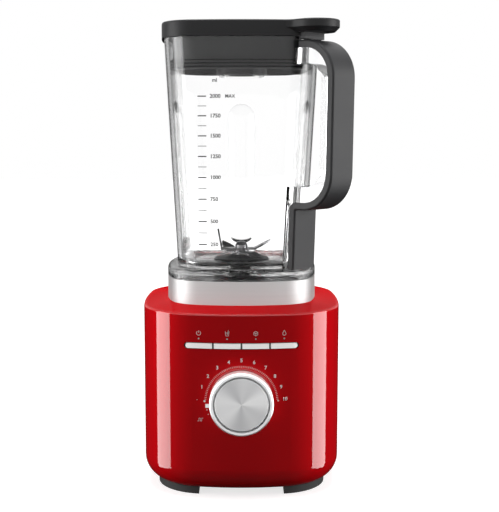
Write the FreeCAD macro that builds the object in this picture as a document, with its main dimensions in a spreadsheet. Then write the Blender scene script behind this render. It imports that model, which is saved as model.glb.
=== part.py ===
"""Countertop blender: a base with its motor, a clear jar with a corner handle, blades, a lid and a cap.

Millimetres. +Z is up, -Y is the front with the dial. The origin is on the counter, under the motor's shaft.
The handle points to the front right corner. Every size is a named cell of the spreadsheet.
"""

import FreeCAD, Part
import math
import os
import re

import Sketcher
from FreeCAD import Placement, Rotation, Vector

SIZES = {
    "Base housing": {
        "foot_height": 5.0,
        "body_height": 167.5,
        "base_width": 189.0,
        "base_depth": 195.0,
        "base_side_bow": 463.0,
        "base_front_bow": 245.0,
        "base_corner": 58.5,
        "base_wall": 3.0,
        "floor_thickness": 5.0,
        "deck_thickness": 3.5,
        "deck_crown": 3.8,
        "deck_hole_radius": 32.0,
        "bottom_round": 22.0,
        "rim_round": 1.6,
    },
    "Bottom cover and feet": {
        "cover_inset": 24.0,
        "cover_ledge": 10.0,
        "cover_recess": 2.5,
        "vent_inner_radius": 20.0,
        "vent_outer_radius": 42.0,
        "vent_width": 3.0,
        "vent_count": 18,
        "foot_inset": 13.0,
        "foot_width": 20.0,
        "foot_end": 39.5,
        "foot_wrap": 2.4,
    },
    "Collar and jar seat": {
        "collar_width": 144.0,
        "collar_bow": 166.0,
        "collar_corner": 34.3,
        "collar_height": 22.0,
        "collar_wall": 1.2,
        "collar_margin": 1.2,
        "seat_wall": 2.2,
        "seat_step": 8.0,
        "seat_drop": 0.6,
        "seat_web": 3.0,
        "well_radius": 27.0,
        "pad_thickness": 2.0,
        "pad_width": 8.0,
    },
    "Jar": {
        "flange_gap": 0.7,
        "flange_height": 5.0,
        "shoulder_height": 5.0,
        "shoulder_round": 4.7,
        "jar_bottom_width": 123.5,
        "jar_top_width": 146.7,
        "jar_wall_height": 211.4,
        "jar_bow": 380.0,
        "jar_corner": 37.6,
        "jar_wall": 3.2,
        "skirt_wall": 3.2,
        "skirt_play": 0.8,
        "jar_floor_rise": 5.5,
        "jar_floor": 6.0,
        "floor_round": 9.0,
        "flute_radius": 16.0,
        "flute_depth": 8.0,
        "flute_top": 71.0,
        "flute_bottom": 24.0,
        "flute_round": 4.0,
        "rib_overlap": 5.0,
    },
    "Handle": {
        "handle_stand": 43.3,
        "handle_lean": 2.4,
        "handle_width": 30.6,
        "handle_drop": 3.4,
        "handle_span": 152.6,
        "handle_bend": 34.0,
        "grip_thickness": 7.0,
        "grip_round": 2.0,
        "core_inset": 1.0,
        "core_thickness": 8.0,
        "bridge_thickness": 14.0,
        "elbow_radius": 7.8,
        "strip_backing": 4.6,
        "strip_lean": 2.0,
        "grip_start_gap": 2.0,
        "gap_round": 17.0,
    },
    "Lid and cap": {
        "lid_gap": 0.3,
        "lid_width": 151.2,
        "lid_bow": 398.0,
        "lid_corner": 32.6,
        "lid_height": 14.3,
        "lid_round": 1.6,
        "lid_top_wall": 3.5,
        "skirt_drop": 28.6,
        "plug_wall": 2.5,
        "gasket_back": 1.2,
        "gasket_rib": 1.5,
        "gasket_height": 9.0,
        "gasket_rise": 0.5,
        "plug_gap": 0.35,
        "tab_reach": 116.0,
        "tab_radius": 21.0,
        "tab_thickness": 11.0,
        "tab_chamfer": 4.0,
        "tab_blend": 9.0,
        "lug_thickness": 7.0,
        "lug_width": 26.0,
        "lug_drop": 2.6,
        "tube_radius": 24.25,
        "tube_wall": 2.0,
        "tube_drop": 31.5,
        "cap_rim_radius": 31.0,
        "cap_rim_height": 4.0,
        "cap_gap": 0.5,
        "cap_wall": 2.0,
        "cap_drop": 1.8,
        "cap_grip_depth": 9.0,
        "cap_grip_radius": 16.0,
        "cap_grip_width": 5.0,
        "cap_floor": 3.5,
    },
    "Dial and buttons": {
        "dial_height": 92.0,
        "dial_radius": 29.0,
        "dial_depth": 13.4,
        "dial_recess_radius": 31.0,
        "dial_recess_depth": 2.2,
        "dial_bore_radius": 25.8,
        "dial_face_radius": 24.2,
        "dial_face_depth": 3.0,
        "dial_face_set": 0.8,
        "dial_boss_radius": 22.0,
        "dial_boss_depth": 5.0,
        "dial_shaft_radius": 3.0,
        "dial_shaft_length": 26.0,
        "pointer_width": 3.0,
        "pointer_length": 3.4,
        "pointer_depth": 2.0,
        "pointer_angle": 182.0,
        "button_height": 143.5,
        "button_pitch": 25.8,
        "button_tall": 4.8,
        "button_gap": 0.35,
        "button_travel": 1.5,
        "button_proud": 0.4,
        "button_depth": 7.0,
        "button_rib": 0.9,
        "button_round": 0.4,
        "bar_start": 5.0,
        "frame_margin": 0.6,
        "frame_flange": 1.9,
        "frame_depth": 2.0,
        "stem_width": 8.0,
        "stem_tall": 3.0,
        "light_rise": 6.6,
        "light_radius": 0.8,
        "light_proud": 0.2,
        "board_setback": 23.5,
        "board_width": 112.0,
        "board_tall": 98.0,
        "board_thickness": 1.6,
        "board_centre": 110.0,
        "post_margin": 5.0,
        "board_post_radius": 3.5,
        "supply_centre": -30.0,
        "supply_width": 26.0,
        "supply_depth": 16.0,
        "supply_tall": 22.0,
        "relay_centre": 12.0,
        "relay_width": 20.0,
        "relay_depth": 14.0,
        "relay_tall": 16.0,
        "triac_centre": 38.0,
        "triac_width": 12.0,
        "triac_depth": 10.0,
        "triac_tall": 18.0,
        "supply_rise": 15.0,
        "switch_size": 6.0,
        "switch_depth": 4.5,
        "switch_tip": 1.5,
        "sensor_size": 18.0,
        "sensor_depth": 7.0,
        "bore_floor": 2.0,
        "sensor_neck_radius": 5.5,
        "sensor_neck": 12.0,
    },
    "Motor": {
        "shaft_radius": 5.0,
        "shaft_foot": 20.0,
        "stator_foot": 72.0,
        "stator_height": 40.0,
        "stator_size": 84.0,
        "stator_corner": 14.0,
        "stator_bore": 25.0,
        "air_gap": 0.6,
        "core_slot": 3.0,
        "core_slots": 12,
        "winding_height": 10.0,
        "winding_clear": 1.5,
        "winding_inset": 6.0,
        "winding_span": 62.0,
        "bolt_spacing": 64.0,
        "bolt_radius": 2.0,
        "leg_radius": 6.0,
        "bracket_thickness": 4.0,
        "top_bracket_size": 104.0,
        "top_bracket_rise": 20.0,
        "low_bracket_drop": 26.0,
        "mount_margin": 8.0,
        "bush_radius": 7.0,
        "bush_height": 6.0,
        "mount_post_radius": 7.0,
        "bearing_wall": 3.0,
        "top_bearing_radius": 13.0,
        "low_bearing_radius": 11.0,
        "bearing_height": 8.0,
        "commutator_radius": 12.0,
        "commutator_height": 12.0,
        "brush_width": 6.0,
        "brush_tall": 8.0,
        "brush_length": 16.0,
        "holder_wall": 1.2,
        "fan_radius": 40.0,
        "fan_height": 12.0,
        "fan_blades": 9,
        "vane_thickness": 1.6,
        "vane_inset": 0.5,
        "shroud_gap": 5.0,
        "shroud_wall": 2.0,
        "shroud_height": 30.0,
        "cord_hole_radius": 6.5,
        "cord_height": 42.0,
        "gland_flange": 3.0,
        "gland_bore": 3.5,
        "screw_radius": 1.6,
        "screw_head_radius": 3.4,
        "screw_head": 1.6,
        "screw_length": 10.0,
    },
    "Coupling and blades": {
        "driver_hub_radius": 12.0,
        "driver_hub_height": 9.0,
        "driver_root": 10.0,
        "driver_tip": 14.5,
        "tooth_width": 5.0,
        "tooth_count": 6,
        "mesh_depth": 3.4,
        "coupling_gap": 0.35,
        "driven_radius": 20.0,
        "driven_top": 4.0,
        "driven_lift": 1.2,
        "blade_shaft_radius": 4.0,
        "carrier_radius": 27.0,
        "carrier_flange": 2.4,
        "carrier_cone": 3.0,
        "carrier_nose_radius": 10.0,
        "barrel_radius": 17.0,
        "barrel_end": 1.5,
        "bush_wall": 2.5,
        "shaft_bush_height": 6.0,
        "seal_thickness": 0.8,
        "nut_radius": 24.0,
        "nut_height": 5.0,
        "nut_notches": 8,
        "blade_thickness": 1.6,
        "blade_width": 13.0,
        "steep_root": 20.0,
        "steep_length": 21.0,
        "shallow_root": 13.0,
        "shallow_length": 19.0,
        "raised_root": 16.0,
        "raised_length": 15.0,
        "droop_root": 15.0,
        "droop_length": 15.0,
        "blade_tip_round": 0.4,
        "blade_gap": 2.0,
        "steep_angle": 80.0,
        "shallow_angle": 27.0,
        "droop_angle": -14.0,
        "raised_angle": 38.0,
        "upper_heading": 181.0,
        "lower_heading": 127.0,
        "shaft_collar": 1.0,
        "blade_nut_radius": 6.0,
        "blade_nut_height": 5.0,
    },
    "Clearances": {
        "fit_gap": 0.15,
        "slide_gap": 0.35,
        "running_gap": 0.05,
        "end_slack": 0.02,
    },
}

# Heights up the machine, each from the one below it.
FLOOR_TOP = "foot_height + floor_thickness"
DECK = "foot_height + body_height"
DECK_UNDER = f"{DECK} - deck_thickness"
COLLAR = f"{DECK} + deck_crown"
COLLAR_TOP = f"{COLLAR} + collar_height"
SEAT = f"{COLLAR} + seat_step"
JAR_FOOT = f"{SEAT} + pad_thickness"
FLANGE = f"{COLLAR_TOP} + flange_gap"
SHOULDER = f"{FLANGE} + flange_height + shoulder_height"
CHAMBER = f"{FLANGE} + flange_height + jar_floor_rise"
JAR_TOP = f"{SHOULDER} + jar_wall_height"
LID = f"{JAR_TOP} + lid_gap"
LID_TOP = f"{LID} + lid_height"
TAB_EDGE = f"{LID_TOP} - tab_thickness + tab_chamfer"
STATOR_TOP = "stator_foot + stator_height"
TOP_PLATE = f"{STATOR_TOP} + top_bracket_rise"
LOW_PLATE = "stator_foot - low_bracket_drop"
MOUNT = f"{TOP_PLATE} + bracket_thickness + bush_height"
FAN_TOP = f"{LOW_PLATE} - bearing_height - bearing_wall"
DRIVEN = f"{JAR_FOOT} + driven_lift"
DRIVER = DECK
DRIVER_TOOTH = f"{DRIVEN} + mesh_depth - ({DRIVER} + driver_hub_height)"
HANDLE_TOP = f"{JAR_TOP} - handle_drop"
HANDLE_BOTTOM = f"{HANDLE_TOP} - handle_span"
JAR_TAPER = "(jar_top_width - jar_bottom_width) / (2 * jar_wall_height)"
PLUG_WIDTH = f"(jar_top_width - 2 * skirt_drop * {JAR_TAPER})"
BLADES = f"{CHAMBER} + seal_thickness + carrier_flange + carrier_cone + slide_gap + shaft_collar"

# Outlines seen from above: width, depth, bow radius of the sides, of the front and back, corner radius.
BASE_OUTLINE = ("base_width", "base_depth", "base_side_bow", "base_front_bow", "base_corner")
COLLAR_OUTLINE = ("collar_width", "collar_width", "collar_bow", "collar_bow", "collar_corner")
JAR_FOOT_OUTLINE = ("jar_bottom_width", "jar_bottom_width", "jar_bow", "jar_bow", "jar_corner")
JAR_RIM_OUTLINE = ("jar_top_width", "jar_top_width", "jar_bow", "jar_bow", "jar_corner")
LID_OUTLINE = ("lid_width", "lid_width", "lid_bow", "lid_bow", "lid_corner")
PLUG_OUTLINE = (PLUG_WIDTH, PLUG_WIDTH, "jar_bow", "jar_bow", "jar_corner")
PLUG_INSET = "jar_wall + plug_gap + gasket_rib + gasket_back"
SKIRT_INSET = "collar_wall + fit_gap + seat_wall + skirt_play"

FRONT = "base_depth / 2"
HANDLE_TURN = -45.0
TAB_SLOPE = 45.0
FLUTED_SIDES = (0, 90, 180)

doc = FreeCAD.newDocument("CountertopBlender")
sheet = doc.addObject("Spreadsheet::Sheet", "Sizes")
parts = {}


def fill_sheet():
    """Write each group of sizes under its heading, with the name beside the value."""
    row = 1
    for heading, cells in SIZES.items():
        sheet.set(f"A{row}", heading)
        row += 1
        for name, size in cells.items():
            sheet.set(f"A{row}", name)
            sheet.set(f"B{row}", str(size))
            sheet.setAlias(f"B{row}", name)
            row += 1
    doc.recompute()


fill_sheet()


def sized(expression):
    """The expression as the document reads it: every word with an underscore is a cell of the sheet."""
    return re.sub(r"\b([a-z]+(?:_[a-z]+)+)\b", r"Sizes.\1", str(expression))


def value(expression):
    return float(sheet.evalExpression(sized(expression)))


def bind(thing, prop, expression):
    thing.setExpression(prop, sized(expression))


# ---------------------------------------------------------------- sketches


class Piece:
    """A PartDesign body, with one short call for each feature it is built from."""

    def __init__(self, label, keep=True):
        self.body = doc.addObject("PartDesign::Body", label)
        self.body.Label = label
        self.label = label
        if keep:
            parts[label] = self.body

    def sketch(self, plane="XY_Plane", offset="0", turn=0.0):
        """A sketch on an origin plane: XY looks up, XZ looks to the front, YZ looks to the right."""
        sketch = self.body.newObject("Sketcher::SketchObject", f"{self.label}_sketch")
        origin = self.body.Origin.OriginFeatures
        sketch.AttachmentSupport = [(next(f for f in origin if f.Role == plane), "")]
        sketch.MapMode = "FlatFace"
        sketch.AttachmentOffset = Placement(Vector(), Rotation(Vector(0, 0, 1), turn))
        bind(sketch, "AttachmentOffset.Base.z", offset)
        doc.recompute()
        return sketch

    def extrude(self, kind, sketch, length, flip=False, both=False):
        feature = self.body.newObject(f"PartDesign::{kind}", f"{self.label}_{kind.lower()}")
        feature.Profile = sketch
        bind(feature, "Length", length)
        feature.Reversed = flip
        if both:
            feature.Midplane = True
        doc.recompute()
        return feature

    def pad(self, sketch, length, flip=False, both=False):
        return self.extrude("Pad", sketch, length, flip, both)

    def pocket(self, sketch, length, flip=False, both=False):
        """Cuts against the sketch's normal, or along it when flipped."""
        return self.extrude("Pocket", sketch, length, flip, both)

    def turn(self, sketch, kind="Revolution"):
        """Turns a profile drawn as radius and height about the sketch's upright axis."""
        feature = self.body.newObject(f"PartDesign::{kind}", f"{self.label}_{kind.lower()}")
        feature.Profile = sketch
        feature.ReferenceAxis = (sketch, ["V_Axis"])
        feature.Angle = 360
        doc.recompute()
        return feature

    def loft(self, sketches, kind="AdditiveLoft"):
        feature = self.body.newObject(f"PartDesign::{kind}", f"{self.label}_loft")
        feature.Profile = sketches[0]
        feature.Sections = sketches[1:]
        feature.Ruled = True
        doc.recompute()
        return feature

    def around(self, features, count):
        """Repeats features about the sketch's normal axis, Z."""
        pattern = self.body.newObject("PartDesign::PolarPattern", f"{self.label}_pattern")
        pattern.Originals = features
        pattern.Axis = (features[0].Profile[0], ["N_Axis"])
        pattern.Angle = 360
        bind(pattern, "Occurrences", count)
        self.body.Tip = pattern
        doc.recompute()
        return pattern

    def level_edges(self, height):
        """Names of the tip's edges that lie wholly at one height."""
        z = value(height)
        return [
            f"Edge{i + 1}"
            for i, edge in enumerate(self.body.Tip.Shape.Edges)
            if abs(edge.BoundBox.ZMin - z) < 0.01 and abs(edge.BoundBox.ZMax - z) < 0.01
        ]

    def edges_along(self, sketch, first, count):
        """Names of the tip's edges that run beside some curves of a sketch on the XZ plane."""
        curves = [sketch.Geometry[first + i].toShape() for i in range(count)]
        names = []
        for i, edge in enumerate(self.body.Tip.Shape.Edges):
            middle = edge.valueAt((edge.FirstParameter + edge.LastParameter) / 2)
            point = Part.Vertex(middle.x, middle.z, 0)
            if edge.BoundBox.YLength < 0.01 and min(point.distToShape(c)[0] for c in curves) < 0.01:
                names.append(f"Edge{i + 1}")
        return names

    def dress(self, kind, edges, prop, size):
        base = self.body.Tip
        feature = self.body.newObject(f"PartDesign::{kind}", f"{self.label}_{kind.lower()}")
        feature.Base = (base, edges)
        bind(feature, prop, size)
        doc.recompute()
        return feature

    def round_edges(self, edges, radius):
        return self.dress("Fillet", edges, "Radius", radius)

    def round_level(self, height, radius):
        return self.round_edges(self.level_edges(height), radius)

    def place(self, x="0", y="0", z="0", turn=0.0):
        self.body.Placement = Placement(Vector(), Rotation(Vector(0, 0, 1), turn))
        bind(self.body, "Placement.Base.x", x)
        bind(self.body, "Placement.Base.y", y)
        bind(self.body, "Placement.Base.z", z)


def circle(sketch, radius, x="0", y="0"):
    """A circle whose radius and centre are bound to the sheet."""
    centre = Vector(value(x), value(y), 0)
    index = sketch.addGeometry(Part.Circle(centre, Vector(0, 0, 1), value(radius)))
    drive(sketch, Sketcher.Constraint("Radius", index, value(radius)), radius)
    pin_point(sketch, index, 3, x, y)
    return sketch


def drive(sketch, constraint, expression):
    """Adds a constraint and binds its size to the expression."""
    index = sketch.addConstraint(constraint)
    bind(sketch, f"Constraints[{index}]", expression)


def pin_point(sketch, index, point, x, y):
    """Holds a point of a sketch at the place that two expressions give."""
    drive(sketch, Sketcher.Constraint("DistanceX", index, point, value(x)), x)
    drive(sketch, Sketcher.Constraint("DistanceY", index, point, value(y)), y)


def polygon(sketch, corners):
    """A closed outline of straight lines through corners given as pairs of expressions."""
    points = [Vector(value(x), value(y), 0) for x, y in corners]
    lines = [Part.LineSegment(a, b) for a, b in zip(points, points[1:] + points[:1])]
    first = sketch.addGeometry(lines)[0]
    count = len(lines)
    for i in range(count):
        sketch.addConstraint(Sketcher.Constraint("Coincident", first + i, 2, first + (i + 1) % count, 1))
        pin_point(sketch, first + i, 1, *corners[i])
    return sketch


def rectangle(sketch, width, tall, x="0", y="0"):
    left, right = f"{x} - ({width}) / 2", f"{x} + ({width}) / 2"
    low, high = f"{y} - ({tall}) / 2", f"{y} + ({tall}) / 2"
    return polygon(sketch, [(left, low), (right, low), (right, high), (left, high)])


def rounded_rectangle(sketch, width, tall, radius, x="0", y="0"):
    """A rectangle with four corner arcs, held by tangency, its arc centres and its radius."""
    half_w, half_t, r = value(width) / 2, value(tall) / 2, value(radius)
    centre = Vector(value(x), value(y), 0)
    arcs = []
    for i, (sx, sy) in enumerate(((1, 1), (-1, 1), (-1, -1), (1, -1))):
        middle = centre + Vector(sx * (half_w - r), sy * (half_t - r), 0)
        start = i * math.pi / 2
        ring = Part.Circle(middle, Vector(0, 0, 1), r)
        arcs.append(Part.ArcOfCircle(ring, start, start + math.pi / 2))
    sides = [Part.LineSegment(a.EndPoint, b.StartPoint) for a, b in zip(arcs, arcs[1:] + arcs[:1])]
    first = sketch.addGeometry(arcs + sides)[0]
    for i, (sx, sy) in enumerate(((1, 1), (-1, 1), (-1, -1), (1, -1))):
        sketch.addConstraint(Sketcher.Constraint("Tangent", first + i, 2, first + 4 + i, 1))
        sketch.addConstraint(Sketcher.Constraint("Tangent", first + 4 + i, 2, first + (i + 1) % 4, 1))
        across = f"{x} + {sx} * (({width}) / 2 - ({radius}))"
        up = f"{y} + {sy} * (({tall}) / 2 - ({radius}))"
        pin_point(sketch, first + i, 3, across, up)
    drive(sketch, Sketcher.Constraint("Radius", first, r), radius)
    return sketch


def bowed_outline(sketch, outline, inset="0"):
    """A rounded rectangle with gently bowed sides: four side arcs and four corner arcs, all tangent."""
    width, depth, side_bow, front_bow, corner = outline
    a, b = value(f"({width}) / 2 - ({inset})"), value(f"({depth}) / 2 - ({inset})")
    rs, rf, r = (value(f"{radius} - ({inset})") for radius in (side_bow, front_bow, corner))
    side, front = Vector(a - rs, 0, 0), Vector(0, b - rf, 0)
    middle = corner_centre(side, rs - r, front, rf - r)
    tilt = math.atan2(middle.y - side.y, middle.x - side.x)
    lift = math.atan2(middle.y - front.y, middle.x - front.x)
    arcs = []
    for turn, bow, centre, reach in ((0, rs, side, tilt), (1, rf, front, math.pi / 2 - lift)):
        for flip in (0, 2):
            heading = (turn + flip) * math.pi / 2
            sign = 1 if flip == 0 else -1
            ring = Part.Circle(centre * sign, Vector(0, 0, 1), bow)
            arcs.append((heading, Part.ArcOfCircle(ring, heading - reach, heading + reach)))
    for quarter, (sx, sy) in enumerate(((1, 1), (-1, 1), (-1, -1), (1, -1))):
        start, end = (tilt, lift) if quarter % 2 == 0 else (math.pi - lift, math.pi - tilt)
        turn = 0 if quarter < 2 else math.pi
        ring = Part.Circle(Vector(sx * middle.x, sy * middle.y, 0), Vector(0, 0, 1), r)
        arcs.append((quarter * math.pi / 2 + 0.7, Part.ArcOfCircle(ring, start + turn, end + turn)))
    arcs = [arc for heading, arc in sorted(arcs, key=lambda pair: pair[0])]
    first = sketch.addGeometry(arcs)[0]
    for i in range(8):
        sketch.addConstraint(Sketcher.Constraint("Tangent", first + i, 2, first + (i + 1) % 8, 1))
    for i, (sx, sy) in zip((0, 2, 4, 6), ((1, 0), (0, 1), (-1, 0), (0, -1))):
        span, bow = (width, side_bow) if sx else (depth, front_bow)
        shift = f"(({span}) / 2 - {bow})"
        pin_point(sketch, first + i, 3, f"{sx} * {shift}", f"{sy} * {shift}")
        side = f"{bow} - ({inset})"
        drive(sketch, Sketcher.Constraint("Radius", first + i, value(side)), side)
    for i in (1, 3, 5, 7):
        drive(sketch, Sketcher.Constraint("Radius", first + i, r), f"{corner} - ({inset})")
    return sketch


def rounded_polygon(sketch, corners):
    """A closed outline through corners given as x, y and radius, each corner with a tangent arc."""
    points = [Vector(value(x), value(y), 0) for x, y, r in corners]
    radii = [value(r) for x, y, r in corners]
    ends, arcs = [], []
    for i, point in enumerate(points):
        back = (points[i - 1] - point).normalize()
        ahead = (points[(i + 1) % len(points)] - point).normalize()
        half = back.getAngle(ahead) / 2
        reach = radii[i] / math.tan(half)
        start, end = point + back * reach, point + ahead * reach
        ends.append((start, end))
        if radii[i] > 0:
            middle = point + (back + ahead).normalize() * (radii[i] / math.sin(half) - radii[i])
            arcs.append(Part.Arc(start, middle, end))
    lines = [Part.LineSegment(a[1], b[0]) for a, b in zip(ends, ends[1:] + ends[:1])]
    for edge in arcs + lines:
        sketch.addConstraint(Sketcher.Constraint("Block", sketch.addGeometry(edge)))
    doc.recompute()
    return sketch


def corner_reach(outline, inset="0"):
    """How far a square bowed outline reaches along its diagonal."""
    width, depth, side_bow, front_bow, corner = outline
    to_bow = f"({side_bow} - ({width}) / 2)"
    centre = f"(sqrt(2 * ({side_bow} - {corner}) ^ 2 - {to_bow} ^ 2) - {to_bow}) / 2"
    return f"({centre}) * sqrt(2) + {corner} - ({inset})"


def corner_centre(side, side_reach, front, front_reach):
    """Where a corner arc's centre lies, at a known distance from the centres of both bows."""
    gap = front - side
    distance = gap.Length
    along = (side_reach**2 - front_reach**2 + distance**2) / (2 * distance)
    across = math.sqrt(side_reach**2 - along**2)
    unit = gap / distance
    normal = Vector(-unit.y, unit.x, 0)
    choices = [side + unit * along + normal * across * sign for sign in (1, -1)]
    return max(choices, key=lambda point: point.x + point.y)


# ---------------------------------------------------------------- base housing and feet


def front_setback(across, inset="0"):
    """How far behind the middle of the front the bowed wall lies, at a distance across it."""
    bow = f"(base_front_bow - ({inset}))"
    return f"({inset}) + {bow} - sqrt({bow} ^ 2 - ({across}) ^ 2)"


COVER_SCREW_INSET = "cover_inset + cover_ledge / 2"
DIAL_SEAT = f"{FRONT} - dial_recess_depth"
BOARD_FACE = f"{FRONT} - board_setback"
BOARD_POST_X = "board_width / 2 - post_margin"
BOARD_POST_Z = "board_tall / 2 - post_margin"


def cover_screw_places():
    """Midway along each side, in the ledge round the bottom opening."""
    x, y = f"base_width / 2 - ({COVER_SCREW_INSET})", f"base_depth / 2 - ({COVER_SCREW_INSET})"
    return [(x, "0"), (f"-({x})", "0"), ("0", y), ("0", f"-({y})")]


def mount_places(spacing="(top_bracket_size - 2 * mount_margin)"):
    """The corners of a square about the shaft, by default where the motor hangs from the housing."""
    return [(f"{sx} * {spacing} / 2", f"{sy} * {spacing} / 2") for sx in (1, -1) for sy in (1, -1)]


def board_post_places():
    """On a plane that looks to the front, across and up."""
    corners = [(sx, sz) for sx in (1, -1) for sz in (1, -1)]
    return [(f"{sx} * ({BOARD_POST_X})", f"board_centre + {sz} * ({BOARD_POST_Z})") for sx, sz in corners]


def button_places():
    """Across the front, from the left: the middles of the four buttons."""
    return [f"{i - 1.5} * button_pitch" for i in range(4)]


def make_housing():
    piece = Piece("base_housing")
    piece.pad(bowed_outline(piece.sketch(offset="foot_height"), BASE_OUTLINE), "body_height")
    rim = bowed_outline(piece.sketch(offset=DECK), BASE_OUTLINE)
    crown = bowed_outline(piece.sketch(offset=COLLAR), COLLAR_OUTLINE, "-collar_margin")
    piece.loft([rim, crown])
    cavity = bowed_outline(piece.sketch(offset=FLOOR_TOP), BASE_OUTLINE, "base_wall")
    piece.pocket(cavity, "body_height - floor_thickness - deck_thickness", flip=True)
    piece.round_level(FLOOR_TOP, "bottom_round - base_wall")
    piece.round_level("foot_height", "bottom_round")
    piece.round_level(DECK, "rim_round")
    opening = bowed_outline(piece.sketch(offset=FLOOR_TOP), BASE_OUTLINE, "cover_inset + cover_ledge")
    piece.pocket(opening, "floor_thickness")
    recess = bowed_outline(piece.sketch(offset="foot_height"), BASE_OUTLINE, "cover_inset")
    piece.pocket(recess, "cover_recess", flip=True)
    piece.pocket(circle(piece.sketch(offset=COLLAR), "deck_hole_radius"), "deck_crown + deck_thickness")

    posts = piece.sketch(offset=DECK_UNDER)
    for x, y in mount_places():
        circle(posts, "mount_post_radius", x, y)
    piece.pad(posts, f"{DECK_UNDER} - ({MOUNT})", flip=True)
    pilots = piece.sketch(offset=MOUNT)
    for x, y in mount_places():
        circle(pilots, "screw_radius", x, y)
    piece.pocket(pilots, "screw_length", flip=True)

    bosses = piece.sketch(offset=FLOOR_TOP)
    for x, y in cover_screw_places():
        circle(bosses, "cover_ledge / 2 - 0.5", x, y)
    piece.pad(bosses, "screw_length")
    pilots = piece.sketch(offset="foot_height")
    for x, y in cover_screw_places():
        circle(pilots, "screw_radius", x, y)
    piece.pocket(pilots, "floor_thickness + screw_length - 1", flip=True)

    boss = circle(piece.sketch("XZ_Plane", DIAL_SEAT), "dial_boss_radius", "0", "dial_height")
    piece.pad(boss, "dial_boss_depth", flip=True)
    seat = circle(piece.sketch("XZ_Plane", DIAL_SEAT), "dial_recess_radius", "0", "dial_height")
    piece.pocket(seat, "dial_recess_depth * 2", flip=True)
    bore = circle(piece.sketch("XZ_Plane", DIAL_SEAT), "sensor_neck_radius + slide_gap", "0", "dial_height")
    piece.pocket(bore, "dial_boss_depth")

    slot = piece.sketch("XZ_Plane", f"{FRONT} + 1")
    span, tall = "4 * button_pitch + 2 * frame_margin", "button_tall + 2 * frame_margin"
    rounded_rectangle(slot, span, tall, f"({tall}) / 2 - end_slack", "0", "button_height")
    for x in button_places():
        circle(slot, "light_radius", x, "button_height + light_rise")
    piece.pocket(slot, f"1 + base_wall + {front_setback('2 * button_pitch')} + 1")

    posts = piece.sketch("XZ_Plane", BOARD_FACE)
    for x, z in board_post_places():
        circle(posts, "board_post_radius", x, z)
    piece.pad(posts, f"{FRONT} - base_wall / 2 - ({front_setback(BOARD_POST_X)}) - ({BOARD_FACE})")

    rear = piece.sketch("XZ_Plane", f"-({FRONT} + 1)")
    circle(rear, "cord_hole_radius", "0", "cord_height")
    piece.pocket(rear, "base_wall + 3", flip=True)


def boolean(kind, label, base, tool, keep=True):
    """A Part::Cut, Part::Common or Part::Fuse of two objects."""
    result = doc.addObject(f"Part::{kind}", label)
    result.Label = label
    result.Base = base
    result.Tool = tool
    doc.recompute()
    if keep:
        parts[label] = result
    return result


def fused(label, shapes, keep=True):
    result = doc.addObject("Part::MultiFuse", label)
    result.Label = label
    result.Shapes = shapes
    doc.recompute()
    if keep:
        parts[label] = result
    return result


def grouped(label, members, keep=True):
    """Separate solids that share one node."""
    result = doc.addObject("Part::Compound", label)
    result.Label = label
    result.Links = members
    doc.recompute()
    if keep:
        parts[label] = result
    return result


def softened(label, base, radius, edge_round):
    """The base with rounded edges where its grooves of one radius run out into the wall."""
    shape, r, soft = base.Shape, value(radius), value(edge_round)
    edges = []
    for i, edge in enumerate(shape.Edges, 1):
        faces = shape.ancestorsOfType(edge, Part.Face)
        grooved = [abs(getattr(face.Surface, "Radius", 0) - r) < 1e-3 for face in faces]
        if any(grooved) and not all(grooved):
            edges.append((i, soft, soft))
    result = doc.addObject("Part::Fillet", label)
    result.Label = label
    result.Base = base
    result.Edges = edges
    doc.recompute()
    parts[label] = result
    return result


def box(name, x, y, z, centre_x="0", centre_y="0", low_z="0", turn=0.0):
    """A Part::Box sized by expressions, centred across and standing at a height."""
    block = doc.addObject("Part::Box", name)
    for prop, size in (("Length", x), ("Width", y), ("Height", z)):
        bind(block, prop, size)
    block.Placement = Placement(Vector(), Rotation(Vector(0, 0, 1), turn))
    bind(block, "Placement.Base.x", f"{centre_x} - ({x}) / 2")
    bind(block, "Placement.Base.y", f"{centre_y} - ({y}) / 2")
    bind(block, "Placement.Base.z", low_z)
    return block


def rod(name, radius, length, x="0", y="0", z="0", along=None):
    """A Part::Cylinder from a point, upright or along a direction."""
    cylinder = doc.addObject("Part::Cylinder", name)
    bind(cylinder, "Radius", radius)
    bind(cylinder, "Height", length)
    if along:
        cylinder.Placement = Placement(Vector(), Rotation(Vector(0, 0, 1), along))
    bind(cylinder, "Placement.Base.x", x)
    bind(cylinder, "Placement.Base.y", y)
    bind(cylinder, "Placement.Base.z", z)
    return cylinder


TO_FRONT = Vector(0, -1, 0)
TO_BACK = Vector(0, 1, 0)


def make_feet():
    """Four corner feet that follow the rounded corners and wrap a little way up the curved edge."""
    ring = Piece("foot_ring", keep=False)
    outline = bowed_outline(ring.sketch(), BASE_OUTLINE, "foot_inset")
    bowed_outline(outline, BASE_OUTLINE, "foot_inset + foot_width")
    ring.pad(outline, "foot_height + foot_wrap")
    form = Piece("housing_envelope", keep=False)
    form.pad(bowed_outline(form.sketch(offset="foot_height"), BASE_OUTLINE), "body_height")
    form.round_level("foot_height", "bottom_round")
    for depth_word, sy in (("front", -1), ("rear", 1)):
        for side_word, sx in (("left", -1), ("right", 1)):
            name = f"foot_{depth_word}_{side_word}"
            span_x, span_y = "base_width / 2 - foot_end", "base_depth / 2 - foot_end"
            centre_x, centre_y = f"{sx} * (foot_end + ({span_x}) / 2)", f"{sy} * (foot_end + ({span_y}) / 2)"
            corner = box(f"{name}_corner", span_x, span_y, "foot_height * 3", centre_x, centre_y)
            block = boolean("Common", f"{name}_block", ring.body, corner, keep=False)
            boolean("Cut", name, block, form.body)


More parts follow.
